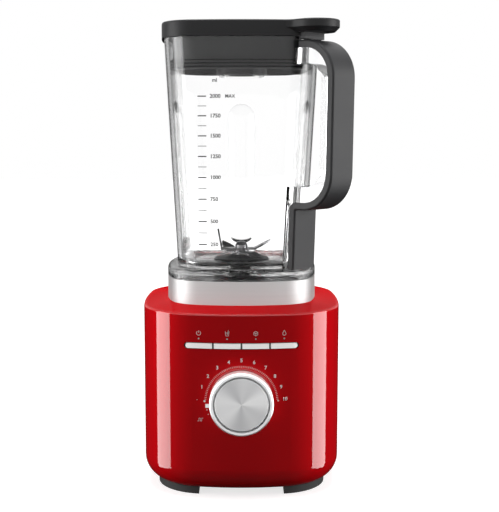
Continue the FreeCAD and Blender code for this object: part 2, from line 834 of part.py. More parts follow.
def make_bottom_cover():
    piece = Piece("bottom_cover")
    piece.pad(
        bowed_outline(piece.sketch(offset="foot_height"), BASE_OUTLINE, "cover_inset + fit_gap"),
        "cover_recess",
    )
    holes = piece.sketch(offset="foot_height")
    for x, y in cover_screw_places():
        circle(holes, "screw_radius + fit_gap", x, y)
    piece.pocket(holes, "cover_recess", flip=True)
    slot = piece.sketch(offset="foot_height")
    length = "vent_outer_radius - vent_inner_radius"
    middle = "(vent_outer_radius + vent_inner_radius) / 2"
    rounded_rectangle(slot, length, "vent_width", "vent_width / 2 - end_slack", middle)
    first = piece.pocket(slot, "cover_recess", flip=True)
    piece.around([first], "vent_count")


def screws(label, places, head_z, up=True, length="screw_length"):
    """Pan-head screws at places given across and along, with the head's bearing face at a height."""
    members = []
    for i, (x, y) in enumerate(places):
        piece = Piece(f"{label}_{i + 1}", keep=False)
        way = 1 if up else -1
        profile = [
            ("0", f"{-way} * screw_head"),
            ("screw_head_radius", f"{-way} * screw_head"),
            ("screw_head_radius", "0"),
            ("screw_radius", "0"),
            ("screw_radius", f"{way} * ({length})"),
            ("0", f"{way} * ({length})"),
        ]
        piece.turn(polygon(piece.sketch("XZ_Plane"), profile))
        piece.place(x, y, head_z)
        members.append(piece.body)
    grouped(label, members)


def make_collar():
    band = Piece("jar_collar_band")
    outline = bowed_outline(band.sketch(offset=COLLAR), COLLAR_OUTLINE)
    bowed_outline(outline, COLLAR_OUTLINE, "collar_wall")
    band.pad(outline, "collar_height")

    outer = "collar_wall + fit_gap"
    inner = f"{outer} + seat_wall"
    seat = Piece("jar_seat")
    seat.pad(bowed_outline(seat.sketch(offset=COLLAR), COLLAR_OUTLINE, outer), "collar_height - seat_drop")
    recess = bowed_outline(seat.sketch(offset=SEAT), COLLAR_OUTLINE, inner)
    seat.pocket(recess, "collar_height - seat_step", flip=True)
    under = bowed_outline(seat.sketch(offset=COLLAR), COLLAR_OUTLINE, inner)
    circle(under, "deck_hole_radius + seat_web")
    seat.pocket(under, "seat_step - seat_web", flip=True)
    seat.pocket(circle(seat.sketch(offset=SEAT), "well_radius"), "seat_step")

    pad = Piece("seat_pad")
    ring = bowed_outline(pad.sketch(offset=SEAT), COLLAR_OUTLINE, f"{inner} + fit_gap")
    bowed_outline(ring, COLLAR_OUTLINE, f"{inner} + fit_gap + pad_width")
    pad.pad(ring, "pad_thickness")


def make_cord_gland():
    """A rubber grommet pressed into the rear wall: a flange outside, a neck and a flange inside."""
    piece = Piece("cord_gland")
    neck, flange = "cord_hole_radius - fit_gap", "cord_hole_radius + gland_flange"
    profile = [
        ("gland_bore", "gland_flange"),
        ("gland_bore", "-(base_wall + gland_flange)"),
        (flange, "-(base_wall + gland_flange)"),
        (flange, "-(base_wall + slide_gap)"),
        (neck, "-(base_wall + slide_gap)"),
        (neck, "fit_gap"),
        (flange, "fit_gap"),
        (f"{neck}", "gland_flange"),
    ]
    piece.turn(polygon(piece.sketch("XZ_Plane"), profile))
    piece.body.Placement = Placement(Vector(), Rotation(Vector(0, 0, 1), TO_BACK))
    bind(piece.body, "Placement.Base.y", FRONT)
    bind(piece.body, "Placement.Base.z", "cord_height")


# ---------------------------------------------------------------- motor


def make_motor_frame():
    stator = Piece("motor_stator")
    foot = stator.sketch(offset="stator_foot")
    outline = rounded_rectangle(foot, "stator_size", "stator_size", "stator_corner")
    circle(outline, "stator_bore")
    for x, y in mount_places("bolt_spacing"):
        circle(outline, "bolt_radius + fit_gap", x, y)
    stator.pad(outline, "stator_height")

    coils = []
    for low in (STATOR_TOP, "stator_foot - winding_height"):
        for side in (1, -1):
            coil = Piece(f"coil_{len(coils)}", keep=False)
            sketch = coil.sketch(offset=low)
            inner, outer = "stator_bore + winding_clear", "stator_size / 2 - winding_inset"
            ring_sector(sketch, inner, outer, value("winding_span"), 90 - side * 90)
            coil.pad(sketch, "winding_height")
            coils.append(coil.body)
    grouped("stator_windings", coils)

    top = Piece("motor_top_bracket")
    plate = top.sketch(offset=TOP_PLATE)
    rounded_rectangle(plate, "top_bracket_size", "top_bracket_size", "stator_corner")
    top.pad(plate, "bracket_thickness")
    legs = top.sketch(offset=TOP_PLATE)
    for x, y in mount_places("bolt_spacing"):
        circle(legs, "leg_radius", x, y)
    top.pad(legs, "top_bracket_rise", flip=True)
    hub = circle(top.sketch(offset=TOP_PLATE), "top_bearing_radius + bearing_wall")
    top.pad(hub, "bearing_height - bracket_thickness + bearing_wall", flip=True)
    seat = circle(top.sketch(offset=f"{TOP_PLATE} + bracket_thickness"), "top_bearing_radius")
    top.pocket(seat, "bearing_height")
    through = circle(top.sketch(offset=f"{TOP_PLATE} + bracket_thickness"), "shaft_radius + 2")
    top.pocket(through, "bearing_height + bearing_wall")
    holes = top.sketch(offset=f"{TOP_PLATE} + bracket_thickness")
    for x, y in mount_places():
        circle(holes, "screw_radius + fit_gap", x, y)
    for x, y in mount_places("bolt_spacing"):
        circle(holes, "bolt_radius + fit_gap", x, y)
    top.pocket(holes, "bracket_thickness + top_bracket_rise")

    low = Piece("motor_bottom_bracket")
    size = "bolt_spacing + 2 * leg_radius"
    plate = rounded_rectangle(low.sketch(offset=LOW_PLATE), size, size, "leg_radius")
    circle(plate, "low_bearing_radius")
    low.pad(plate, "bracket_thickness", flip=True)
    hub = circle(low.sketch(offset=LOW_PLATE), "low_bearing_radius + bearing_wall")
    circle(hub, "low_bearing_radius")
    low.pad(hub, "bearing_height", flip=True)
    lip = circle(low.sketch(offset=f"{LOW_PLATE} - bearing_height"), "low_bearing_radius + bearing_wall")
    circle(lip, "shaft_radius + 2")
    low.pad(lip, "bearing_wall / 2", flip=True)
    legs = low.sketch(offset=LOW_PLATE)
    for x, y in mount_places("bolt_spacing"):
        circle(legs, "leg_radius", x, y)
    low.pad(legs, "low_bracket_drop")
    holes = low.sketch(offset="stator_foot")
    for x, y in mount_places("bolt_spacing"):
        circle(holes, "bolt_radius + fit_gap", x, y)
    low.pocket(holes, "low_bracket_drop + bracket_thickness")

    bolts = []
    head = f"{LOW_PLATE} - bracket_thickness"
    for i, (x, y) in enumerate(mount_places("bolt_spacing")):
        bolt = Piece(f"motor_screw_{i + 1}", keep=False)
        length = f"{TOP_PLATE} + bracket_thickness - ({head})"
        profile = [
            ("0", "-screw_head * 1.5"),
            ("bolt_radius * 1.8", "-screw_head * 1.5"),
            ("bolt_radius * 1.8", "0"),
            ("bolt_radius", "0"),
            ("bolt_radius", length),
            ("0", length),
        ]
        bolt.turn(polygon(bolt.sketch("XZ_Plane"), profile))
        bolt.place(x, y, head)
        bolts.append(bolt.body)
    grouped("motor_screws", bolts)

    bushes = []
    for i, (x, y) in enumerate(mount_places()):
        bush = Piece(f"motor_bush_{i + 1}", keep=False)
        ring = circle(bush.sketch(), "bush_radius")
        circle(ring, "screw_radius + fit_gap")
        bush.pad(ring, "bush_height")
        bush.place(x, y, f"{TOP_PLATE} + bracket_thickness")
        bushes.append(bush.body)
    grouped("motor_bushes", bushes)
    length = "bracket_thickness + bush_height + screw_length - 2"
    screws("mount_screws", mount_places(), TOP_PLATE, length=length)

    for name, radius, low_z in (
        ("upper_bearing", "top_bearing_radius", f"{TOP_PLATE} + bracket_thickness - bearing_height"),
        ("lower_bearing", "low_bearing_radius", f"{LOW_PLATE} - bearing_height"),
    ):
        bearing = Piece(name)
        ring = circle(bearing.sketch(), f"{radius} - running_gap")
        circle(ring, "shaft_radius + running_gap")
        bearing.pad(ring, "bearing_height")
        bearing.place(z=low_z)


def ring_sector(sketch, inner, outer, half_angle, heading):
    """A closed slice of a ring, symmetrical about a heading in degrees."""
    a, b = math.radians(heading - half_angle), math.radians(heading + half_angle)
    r, big = value(inner), value(outer)
    arc_out = Part.ArcOfCircle(Part.Circle(Vector(), Vector(0, 0, 1), big), a, b)
    arc_in = Part.ArcOfCircle(Part.Circle(Vector(), Vector(0, 0, 1), r), a, b)
    first = sketch.addGeometry(
        [
            arc_out,
            Part.LineSegment(arc_out.EndPoint, arc_in.EndPoint),
            arc_in,
            Part.LineSegment(arc_in.StartPoint, arc_out.StartPoint),
        ]
    )[0]
    for i, (end, start) in enumerate(((2, 1), (2, 2), (1, 1), (2, 1))):
        sketch.addConstraint(Sketcher.Constraint("Coincident", first + i, end, first + (i + 1) % 4, start))
    for i, radius in ((0, outer), (2, inner)):
        pin_point(sketch, first + i, 3, "0", "0")
        drive(sketch, Sketcher.Constraint("Radius", first + i, value(radius)), radius)
    return sketch


def make_brushes():
    """Two brass holders on the lower bracket, each with its carbon brush against the commutator."""
    centre_z = f"{LOW_PLATE} + commutator_height / 2 + 1"
    outer_w, outer_t = "brush_width + 2 * holder_wall", "brush_tall + 2 * holder_wall"
    start = "commutator_radius + 3"
    for side, sign in (("left", -1), ("right", 1)):
        holder = Piece(f"brush_holder_{side}")
        tube = rectangle(holder.sketch("YZ_Plane", start), outer_w, outer_t, "0", centre_z)
        rectangle(tube, "brush_width + 2 * running_gap", "brush_tall + 2 * running_gap", "0", centre_z)
        holder.pad(tube, "brush_length + 2")
        foot_tall = f"{centre_z} - ({outer_t}) / 2 - ({LOW_PLATE})"
        foot = holder.sketch("YZ_Plane", f"{start} + 3")
        rectangle(foot, outer_w, foot_tall, "0", f"{LOW_PLATE} + ({foot_tall}) / 2")
        holder.pad(foot, "brush_length - 4")
        brush = Piece(f"carbon_brush_{side}")
        section = brush.sketch("YZ_Plane", "commutator_radius + slide_gap")
        rectangle(section, "brush_width", "brush_tall", "0", centre_z)
        brush.pad(section, "brush_length")
        for piece in (holder, brush):
            if sign < 0:
                piece.place(turn=180)


def make_armature():
    shaft = Piece("motor_shaft")
    top = f"{DRIVER} + driver_hub_height"
    shaft.pad(circle(shaft.sketch(offset="shaft_foot"), "shaft_radius"), f"{top} - shaft_foot")

    core = Piece("armature_core")
    ring = circle(core.sketch(offset="stator_foot"), "stator_bore - air_gap")
    circle(ring, "shaft_radius + fit_gap")
    core.pad(ring, "stator_height")
    slot = core.sketch(offset="stator_foot")
    rectangle(slot, "core_slot * 3", "core_slot", "stator_bore - core_slot")
    core.around([core.pocket(slot, "stator_height", flip=True)], "core_slots")

    ends = []
    for low, sign in ((STATOR_TOP, 1), ("stator_foot", -1)):
        end = Piece(f"winding_end_{len(ends)}", keep=False)
        profile = [
            ("shaft_radius + fit_gap", "0"),
            ("stator_bore - core_slot * 1.5", "0"),
            ("stator_bore - core_slot * 2.5", f"{sign} * winding_height"),
            ("shaft_radius + fit_gap", f"{sign} * winding_height"),
        ]
        end.turn(polygon(end.sketch("XZ_Plane"), profile))
        end.place(z=low)
        ends.append(end.body)
    grouped("armature_windings", ends)

    commutator = Piece("commutator")
    ring = circle(commutator.sketch(offset=f"{LOW_PLATE} + 1"), "commutator_radius")
    circle(ring, "shaft_radius + fit_gap")
    commutator.pad(ring, "commutator_height")

    fan = Piece("cooling_fan")
    plate = circle(fan.sketch(offset=FAN_TOP), "fan_radius")
    circle(plate, "shaft_radius + fit_gap")
    fan.pad(plate, "bracket_thickness / 2", flip=True)
    hub = circle(fan.sketch(offset=FAN_TOP), "shaft_radius * 2")
    circle(hub, "shaft_radius + fit_gap")
    fan.pad(hub, "fan_height", flip=True)
    length = "(fan_radius - shaft_radius * 2)"
    vane = fan.sketch(offset=FAN_TOP)
    rectangle(vane, length, "vane_thickness", f"fan_radius - vane_inset - {length} / 2")
    fan.around([fan.pad(vane, "fan_height", flip=True)], "fan_blades")

    driver = Piece("drive_coupling")
    driver.pad(circle(driver.sketch(offset=DRIVER), "driver_hub_radius"), "driver_hub_height")
    star = circle(driver.sketch(offset=f"{DRIVER} + driver_hub_height"), "driver_root")
    driver.pad(star, DRIVER_TOOTH)
    tooth = driver.sketch(offset=f"{DRIVER} + driver_hub_height")
    rectangle(tooth, "driver_tip - driver_root / 2", "tooth_width", "driver_tip / 2 + driver_root / 4")
    driver.around([driver.pad(tooth, DRIVER_TOOTH)], "tooth_count")
    bore = circle(driver.sketch(offset=DRIVER), "shaft_radius + fit_gap")
    driver.pocket(bore, "driver_hub_height + fit_gap", flip=True)


def make_fan_shroud():
    piece = Piece("fan_shroud")
    ring = circle(piece.sketch(offset="foot_height + cover_recess"), "fan_radius + shroud_gap + shroud_wall")
    circle(ring, "fan_radius + shroud_gap")
    piece.pad(ring, "shroud_height")


# ---------------------------------------------------------------- dial, buttons and board


def turned_to_front(piece, y, z):
    """Stands a turned piece on its side, so that its axis points out of the front."""
    piece.body.Placement = Placement(Vector(), Rotation(Vector(0, 0, 1), TO_FRONT))
    bind(piece.body, "Placement.Base.y", f"-({y})")
    bind(piece.body, "Placement.Base.z", z)


def make_dial():
    """A deep ring with a pointer, a brushed face set into it, and the shaft behind."""
    ring = Piece("dial_ring")
    back, front = "slide_gap", "dial_depth"
    hub_front = "dial_depth - dial_face_set - dial_face_depth"
    profile = [
        ("dial_shaft_radius + fit_gap", back),
        ("dial_radius - 1", back),
        ("dial_radius", f"{back} + 1"),
        ("dial_radius", f"{front} - 1.2"),
        ("dial_radius - 1.2", front),
        ("dial_bore_radius", front),
        ("dial_bore_radius", "slide_gap + dial_face_depth"),
        ("dial_shaft_radius * 3", "slide_gap + dial_face_depth"),
        ("dial_shaft_radius * 3", hub_front),
        ("dial_shaft_radius + fit_gap", hub_front),
    ]
    ring.turn(polygon(ring.sketch("XZ_Plane"), profile))
    tab = ring.sketch(offset=f"{front} - pointer_depth * 0.75", turn=value("pointer_angle") - 90)
    rectangle(tab, "pointer_width", "pointer_length + 2", "0", "dial_radius + pointer_length / 2 - 1")
    ring.pad(tab, "pointer_depth", flip=True)
    turned_to_front(ring, DIAL_SEAT, "dial_height")

    face = Piece("dial_face")
    low = hub_front
    profile = [
        ("0", low),
        ("dial_face_radius - 0.8", low),
        ("dial_face_radius", f"{low} + 0.8"),
        ("dial_face_radius", f"{low} + dial_face_depth - 0.5"),
        ("dial_face_radius - 0.5", f"{low} + dial_face_depth"),
        ("0", f"{low} + dial_face_depth"),
    ]
    face.turn(polygon(face.sketch("XZ_Plane"), profile))
    turned_to_front(face, DIAL_SEAT, "dial_height")

    shaft = Piece("dial_shaft")
    shaft.pad(circle(shaft.sketch(offset=hub_front), "dial_shaft_radius"), "dial_shaft_length", flip=True)
    turned_to_front(shaft, DIAL_SEAT, "dial_height")


BUTTONS = ("power", "smoothie", "ice", "clean")
ROW_SPAN = "4 * button_pitch - button_rib"
WINDOW_TALL = "button_tall + 2 * button_gap"
SWITCH_TIP = f"{BOARD_FACE} + switch_depth + switch_tip"


def curved_band(name, outer, inner, half_height):
    """The part of the bowed front, between two depths, from which the button row is cut."""
    band = Piece(name, keep=False)
    ring = bowed_outline(band.sketch(offset=f"button_height - {half_height}"), BASE_OUTLINE, outer)
    bowed_outline(ring, BASE_OUTLINE, inner)
    band.pad(ring, f"2 * {half_height}")
    return band.body


def front_bar(name, width, tall, radius, x="0"):
    """A rounded bar that runs in from the front, to cut a shape out of a band."""
    bar = Piece(name, keep=False)
    sketch = bar.sketch("XZ_Plane", f"{FRONT} + bar_start")
    rounded_rectangle(sketch, width, tall, radius, x, "button_height")
    bar.pad(sketch, "board_setback", flip=True)
    return bar.body


def make_buttons():
    """Four caps cut from one curved bar, in a frame with a window for each, and their switches."""
    half = "button_tall"
    cap_band = curved_band("cap_band", "-button_proud", "button_depth", half)
    span = f"{ROW_SPAN} - 2 * button_gap"
    row_bar = front_bar("row_bar", span, "button_tall", "button_tall / 2 - end_slack")
    row = boolean("Common", "cap_row", cap_band, row_bar, keep=False)
    for name, x in zip(BUTTONS, button_places()):
        width = "button_pitch - button_rib - 2 * button_gap"
        slice_bar = front_bar(f"{name}_slice", width, "2 * button_tall", "button_round", x)
        cap = boolean("Common", f"{name}_cap", row, slice_bar, keep=False)
        end = f"{SWITCH_TIP} + button_travel + slide_gap"
        length = f"{FRONT} - button_depth / 2 - ({end})"
        middle, low = f"-({end}) - ({length}) / 2", "button_height - stem_tall / 2"
        stem = box(f"{name}_stem", "stem_width", length, "stem_tall", x, middle, low)
        fused(f"button_{name}", [cap, stem])

    wide = f"{ROW_SPAN} + 2 * frame_margin - 2 * fit_gap"
    tall = "button_tall + 2 * frame_margin - 2 * fit_gap"
    insert = boolean(
        "Common",
        "frame_insert",
        curved_band("insert_band", "slide_gap", "base_wall + frame_depth", half),
        front_bar("insert_bar", wide, tall, f"({tall}) / 2 - end_slack"),
        keep=False,
    )
    grown = "button_tall + 2 * frame_margin + 2 * frame_flange"
    broad = f"{ROW_SPAN} + 2 * frame_margin + 2 * frame_flange"
    flange = boolean(
        "Common",
        "frame_flange",
        curved_band("flange_band", "base_wall + fit_gap", "base_wall + frame_depth", "2 * button_tall"),
        front_bar("flange_bar", broad, grown, "frame_flange"),
        keep=False,
    )
    windows = [
        front_bar(f"window_{i}", "button_pitch - button_rib", WINDOW_TALL, "button_gap + button_round", x)
        for i, x in enumerate(button_places())
    ]
    solid = fused("frame_solid", [insert, flange], keep=False)
    boolean("Cut", "button_frame", solid, fused("frame_windows", windows, keep=False))

    switches = []
    for i, x in enumerate(button_places()):
        middle, low = f"-({BOARD_FACE} + switch_depth / 2)", "button_height - switch_size / 2"
        body = box(f"switch_{i}", "switch_size", "switch_depth", "switch_size", x, middle, low)
        reach = "switch_depth + switch_tip"
        start = f"-({BOARD_FACE})"
        tip = rod(f"switch_tip_{i}", "switch_size / 4", reach, x, start, "button_height", TO_FRONT)
        switches.append(fused(f"switch_body_{i}", [body, tip], keep=False))
    grouped("button_switches", switches)

    lights = []
    for i, x in enumerate(button_places()):
        length = f"{FRONT} - ({front_setback(x)}) - ({BOARD_FACE}) + light_proud"
        height = "button_height + light_rise"
        light = rod(f"light_{i}", "light_radius - fit_gap", length, x, f"-({BOARD_FACE})", height, TO_FRONT)
        lights.append(light)
    grouped("status_lights", lights)


def make_board():
    """The board on its four posts, with its supply's bulky parts behind and the dial's sensor in front."""
    middle, low = f"-({BOARD_FACE} - board_thickness / 2)", "board_centre - board_tall / 2"
    pieces = [box("board_plate", "board_width", "board_thickness", "board_tall", "0", middle, low)]
    foot = f"{low} + supply_rise"
    for name in ("supply", "relay", "triac"):
        wide, deep, tall = f"{name}_width", f"{name}_depth", f"{name}_tall"
        middle = f"-({BOARD_FACE} - board_thickness - {deep} / 2)"
        pieces.append(box(f"board_{name}", wide, deep, tall, f"{name}_centre", middle, foot))
    fused("control_board", pieces)

    middle, low = f"-({BOARD_FACE} + sensor_depth / 2)", "dial_height - sensor_size / 2"
    case = box("sensor_case", "sensor_size", "sensor_depth", "sensor_size", "0", middle, low)
    length, start = "sensor_depth + sensor_neck", f"-({BOARD_FACE})"
    neck = rod("sensor_collar", "sensor_neck_radius", length, "0", start, "dial_height", TO_FRONT)
    radius, start = "dial_shaft_radius + running_gap", f"-({BOARD_FACE} + bore_floor)"
    bore = rod("sensor_bore", radius, length, "0", start, "dial_height", TO_FRONT)
    boolean("Cut", "dial_sensor", fused("sensor_solid", [case, neck], keep=False), bore)


# ---------------------------------------------------------------- jar and handle


def flute(name, quarter, radius, low, high, low_ball):
    """A rod with a round end that leans with the jar's wall, midway along one side."""
    lean = math.atan(value(JAR_TAPER))
    turn = math.radians(quarter)
    outward = Vector(math.cos(turn), math.sin(turn), 0)
    along = outward * math.sin(lean) + Vector(0, 0, math.cos(lean))

    def place_at(height):
        wall = value("jar_bottom_width / 2") + (height - value(SHOULDER)) * math.tan(lean)
        return outward * (wall + value("flute_radius - flute_depth")) + Vector(0, 0, height)

    start, end = place_at(value(low)), place_at(value(high))
    shaft = doc.addObject("Part::Cylinder", f"{name}_rod")
    bind(shaft, "Radius", radius)
    shaft.Height = (end - start).Length
    shaft.Placement = Placement(start, Rotation(Vector(0, 0, 1), along))
    shapes = [shaft]
    for at in (end, start) if low_ball else (end,):
        ball = doc.addObject("Part::Sphere", f"{name}_ball")
        bind(ball, "Radius", radius)
        ball.Placement = Placement(at, Rotation(Vector(0, 0, 1), quarter))
        shapes.append(ball)
    return fused(name, shapes, keep=False)


def handle_line(offset):
    """The handle's profile line, offset outwards from the joint between its clear core and its grip.

    Each corner is a distance from the jar's axis, a height and a radius.
    """
    skin = f"(grip_thickness - ({offset}))"
    reach = f"{corner_reach(JAR_RIM_OUTLINE)} + handle_stand - {skin}"
    strip = f"{corner_reach(JAR_FOOT_OUTLINE)} + strip_backing + ({offset})"
    bend, elbow = f"handle_bend - {skin}", f"elbow_radius - ({offset})"
    run = f"({reach} - handle_lean) - ({strip} + strip_lean)"
    lower_bend = f"min({bend}; {run} - ({elbow}) - grip_round)"
    return [
        (reach, f"{HANDLE_TOP} - {skin}", bend),
        (f"{reach} - handle_lean", f"{HANDLE_BOTTOM} + {skin}", lower_bend),
        (f"{strip} + strip_lean", f"{HANDLE_BOTTOM} + {skin}", elbow),
        (strip, SHOULDER, "0"),
    ]


def make_handle_core():
    core = Piece("handle_core", keep=False)
    root = f"{corner_reach(JAR_FOOT_OUTLINE)} - jar_wall * 3"
    line = handle_line("0")
    top, bottom = line[0], line[1]
    profile = core.sketch("XZ_Plane")
    rounded_polygon(profile, [(root, top[1], "0"), *line, (root, SHOULDER, "0")])
    core.pad(profile, "handle_width - 2 * core_inset", both=True)
    gap = core.sketch("XZ_Plane")
    high, low = f"{top[1]} - bridge_thickness", f"{bottom[1]} + bridge_thickness"
    rounded_polygon(
        gap,
        [
            (root, high, "0"),
            (f"{top[0]} - core_thickness", high, "gap_round"),
            (f"{bottom[0]} - core_thickness", low, "gap_round"),
            (root, low, "0"),
        ],
    )
    core.pocket(gap, "handle_width", both=True)
    core.place(turn=HANDLE_TURN)
    return core


def make_grip():
    """The soft grip: a band of even thickness along the outside of the clear core."""
    grip = Piece("handle_grip")
    start = f"{corner_reach(JAR_RIM_OUTLINE)} + grip_start_gap"
    outer, inner = handle_line("grip_thickness"), handle_line("fit_gap")
    band = [(start, outer[0][1], "0"), *outer, *reversed(inner), (start, inner[0][1], "0")]
    profile = rounded_polygon(grip.sketch("XZ_Plane"), band)
    grip.pad(profile, "handle_width", both=True)
    bends = len(outer) - 1
    edges = grip.edges_along(profile, 0, bends) + grip.edges_along(profile, 2 * bends, len(outer))
    grip.round_edges(edges, "grip_round")
    grip.place(turn=HANDLE_TURN)


def make_jar():
    block = Piece("jar_block", keep=False)
    block.pad(bowed_outline(block.sketch(offset=FLANGE), COLLAR_OUTLINE), "flange_height + shoulder_height")
    block.round_level(SHOULDER, "shoulder_round")
    foot = bowed_outline(block.sketch(offset=FLANGE), COLLAR_OUTLINE, SKIRT_INSET)
    block.pad(foot, f"{FLANGE} - ({JAR_FOOT})", flip=True)
    low = bowed_outline(block.sketch(offset=SHOULDER), JAR_FOOT_OUTLINE)
    high = bowed_outline(block.sketch(offset=JAR_TOP), JAR_RIM_OUTLINE)
    block.loft([low, high])
    under = bowed_outline(block.sketch(offset=JAR_FOOT), COLLAR_OUTLINE, f"{SKIRT_INSET} + skirt_wall")
    block.pocket(under, f"{CHAMBER} - jar_floor - ({JAR_FOOT})", flip=True)
    hole = circle(block.sketch(offset=JAR_FOOT), "barrel_radius + fit_gap")
    block.pocket(hole, f"{CHAMBER} - ({JAR_FOOT}) + 1", flip=True)

    chamber = Piece("jar_chamber", keep=False)
    bend_top = f"{CHAMBER} + floor_round + slide_gap"
    floor = bowed_outline(chamber.sketch(offset=CHAMBER), JAR_FOOT_OUTLINE, "jar_wall")
    chamber.pad(floor, f"{bend_top} - ({CHAMBER})")
    chamber.round_level(CHAMBER, "floor_round")
    low = bowed_outline(chamber.sketch(offset=bend_top), JAR_FOOT_OUTLINE, "jar_wall")
    high = bowed_outline(chamber.sketch(offset=JAR_TOP), JAR_RIM_OUTLINE, "jar_wall")
    chamber.loft([low, high])

    top, bottom = f"{JAR_TOP} - flute_top", f"{SHOULDER} + flute_bottom"
    low, around = f"{CHAMBER} - rib_overlap", "flute_radius + jar_wall"
    ribs = [flute(f"rib_{q}", q, around, low, top, False) for q in FLUTED_SIDES]
    grooves = [flute(f"groove_{q}", q, "flute_radius", bottom, top, True) for q in FLUTED_SIDES]
    hollow = boolean("Cut", "ribbed_chamber", chamber.body, fused("ribs", ribs, keep=False), keep=False)
    solid = fused("jar_solid", [block.body, make_handle_core().body], keep=False)
    hollows = fused("jar_hollows", [hollow, *grooves], keep=False)
    sharp = boolean("Cut", "sharp_jar", solid, hollows, keep=False)
    softened("jar", sharp, "flute_radius", "flute_round")


# ---------------------------------------------------------------- blades


def make_blade_base():
    """The bearing housing through the jar's floor, with its seal, its nut and its two bushes."""
    seat, floor_low = f"{CHAMBER} + seal_thickness", f"{CHAMBER} - jar_floor"
    bore = "blade_shaft_radius + bush_wall"
    low = f"{floor_low} - nut_height - barrel_end"
    carrier = Piece("blade_carrier")
    profile = [
        (bore, low),
        ("barrel_radius", low),
        ("barrel_radius", seat),
        ("carrier_radius", seat),
        ("carrier_radius", f"{seat} + carrier_flange - 1"),
        ("carrier_radius - 1", f"{seat} + carrier_flange"),
        ("barrel_radius", f"{seat} + carrier_flange"),
        ("carrier_nose_radius", f"{seat} + carrier_flange + carrier_cone"),
        (bore, f"{seat} + carrier_flange + carrier_cone"),
    ]
    carrier.turn(polygon(carrier.sketch("XZ_Plane"), profile))

    seal = Piece("carrier_seal")
    ring = circle(seal.sketch(offset=CHAMBER), "carrier_radius - 1")
    circle(ring, "barrel_radius + fit_gap")
    seal.pad(ring, "seal_thickness")

    nut = Piece("retaining_nut")
    ring = circle(nut.sketch(offset=floor_low), "nut_radius")
    circle(ring, "barrel_radius + fit_gap")
    nut.pad(ring, "nut_height", flip=True)
    notch = circle(nut.sketch(offset=floor_low), "nut_radius / 8", "nut_radius + 1")
    nut.around([nut.pocket(notch, "nut_height")], "nut_notches")

    bushes = []
    for z in (low, f"{seat} + carrier_flange + carrier_cone - shaft_bush_height"):
        bush = Piece(f"shaft_bush_{len(bushes) + 1}", keep=False)
        ring = circle(bush.sketch(offset=z), f"{bore} - running_gap")
        circle(ring, "blade_shaft_radius + running_gap")
        bush.pad(ring, "shaft_bush_height")
        bushes.append(bush.body)
    grouped("shaft_bushes", bushes)


def blade(label, low, heading, tips, boss):
    """A flat bar with a boss, and at each end a swept tip with its own root, length and angle."""
    flat = Piece(f"{label}_bar", keep=False)
    near, far = f"{tips[0]}_root", f"{tips[1]}_root"
    flat.pad(rectangle(flat.sketch(), f"{near} + {far}", "blade_width", f"({near} - {far}) / 2"),
             "blade_thickness")
    flat.pad(circle(flat.sketch(), "blade_nut_radius + 1"), f"blade_thickness + {boss}")
    flat.pocket(circle(flat.sketch(), "blade_shaft_radius + fit_gap"), "blade_thickness * 4", flip=True)
    shapes = [flat.body]
    for i, name in enumerate(tips):
        tip = Piece(f"{label}_tip_{i}", keep=False)
        half, length = "blade_width / 2", f"{name}_length"
        corners = [
            ("-0.4 * blade_thickness", f"-{half}", "0"),
            (f"{length} * 0.45", f"-{half}", "blade_width"),
            (length, f"{half} * 0.5", "blade_tip_round"),
            (f"{length} * 0.72", half, "blade_width / 2"),
            ("-0.4 * blade_thickness", half, "0"),
        ]
        tip.pad(rounded_polygon(tip.sketch(), corners), "blade_thickness")
        bend = Rotation(Vector(0, 0, 1), 180 * i) * Rotation(Vector(0, 1, 0), -value(f"{name}_angle"))
        corner = Rotation(Vector(0, 0, 1), 180 * i).multVec(Vector(value(f"{name}_root"), 0, 0))
        tip.body.Placement = Placement(corner, bend)
        shapes.append(tip.body)
    whole = fused(label, shapes)
    whole.Placement = Placement(Vector(), Rotation(Vector(0, 0, 1), value(heading)))
    bind(whole, "Placement.Base.z", low)


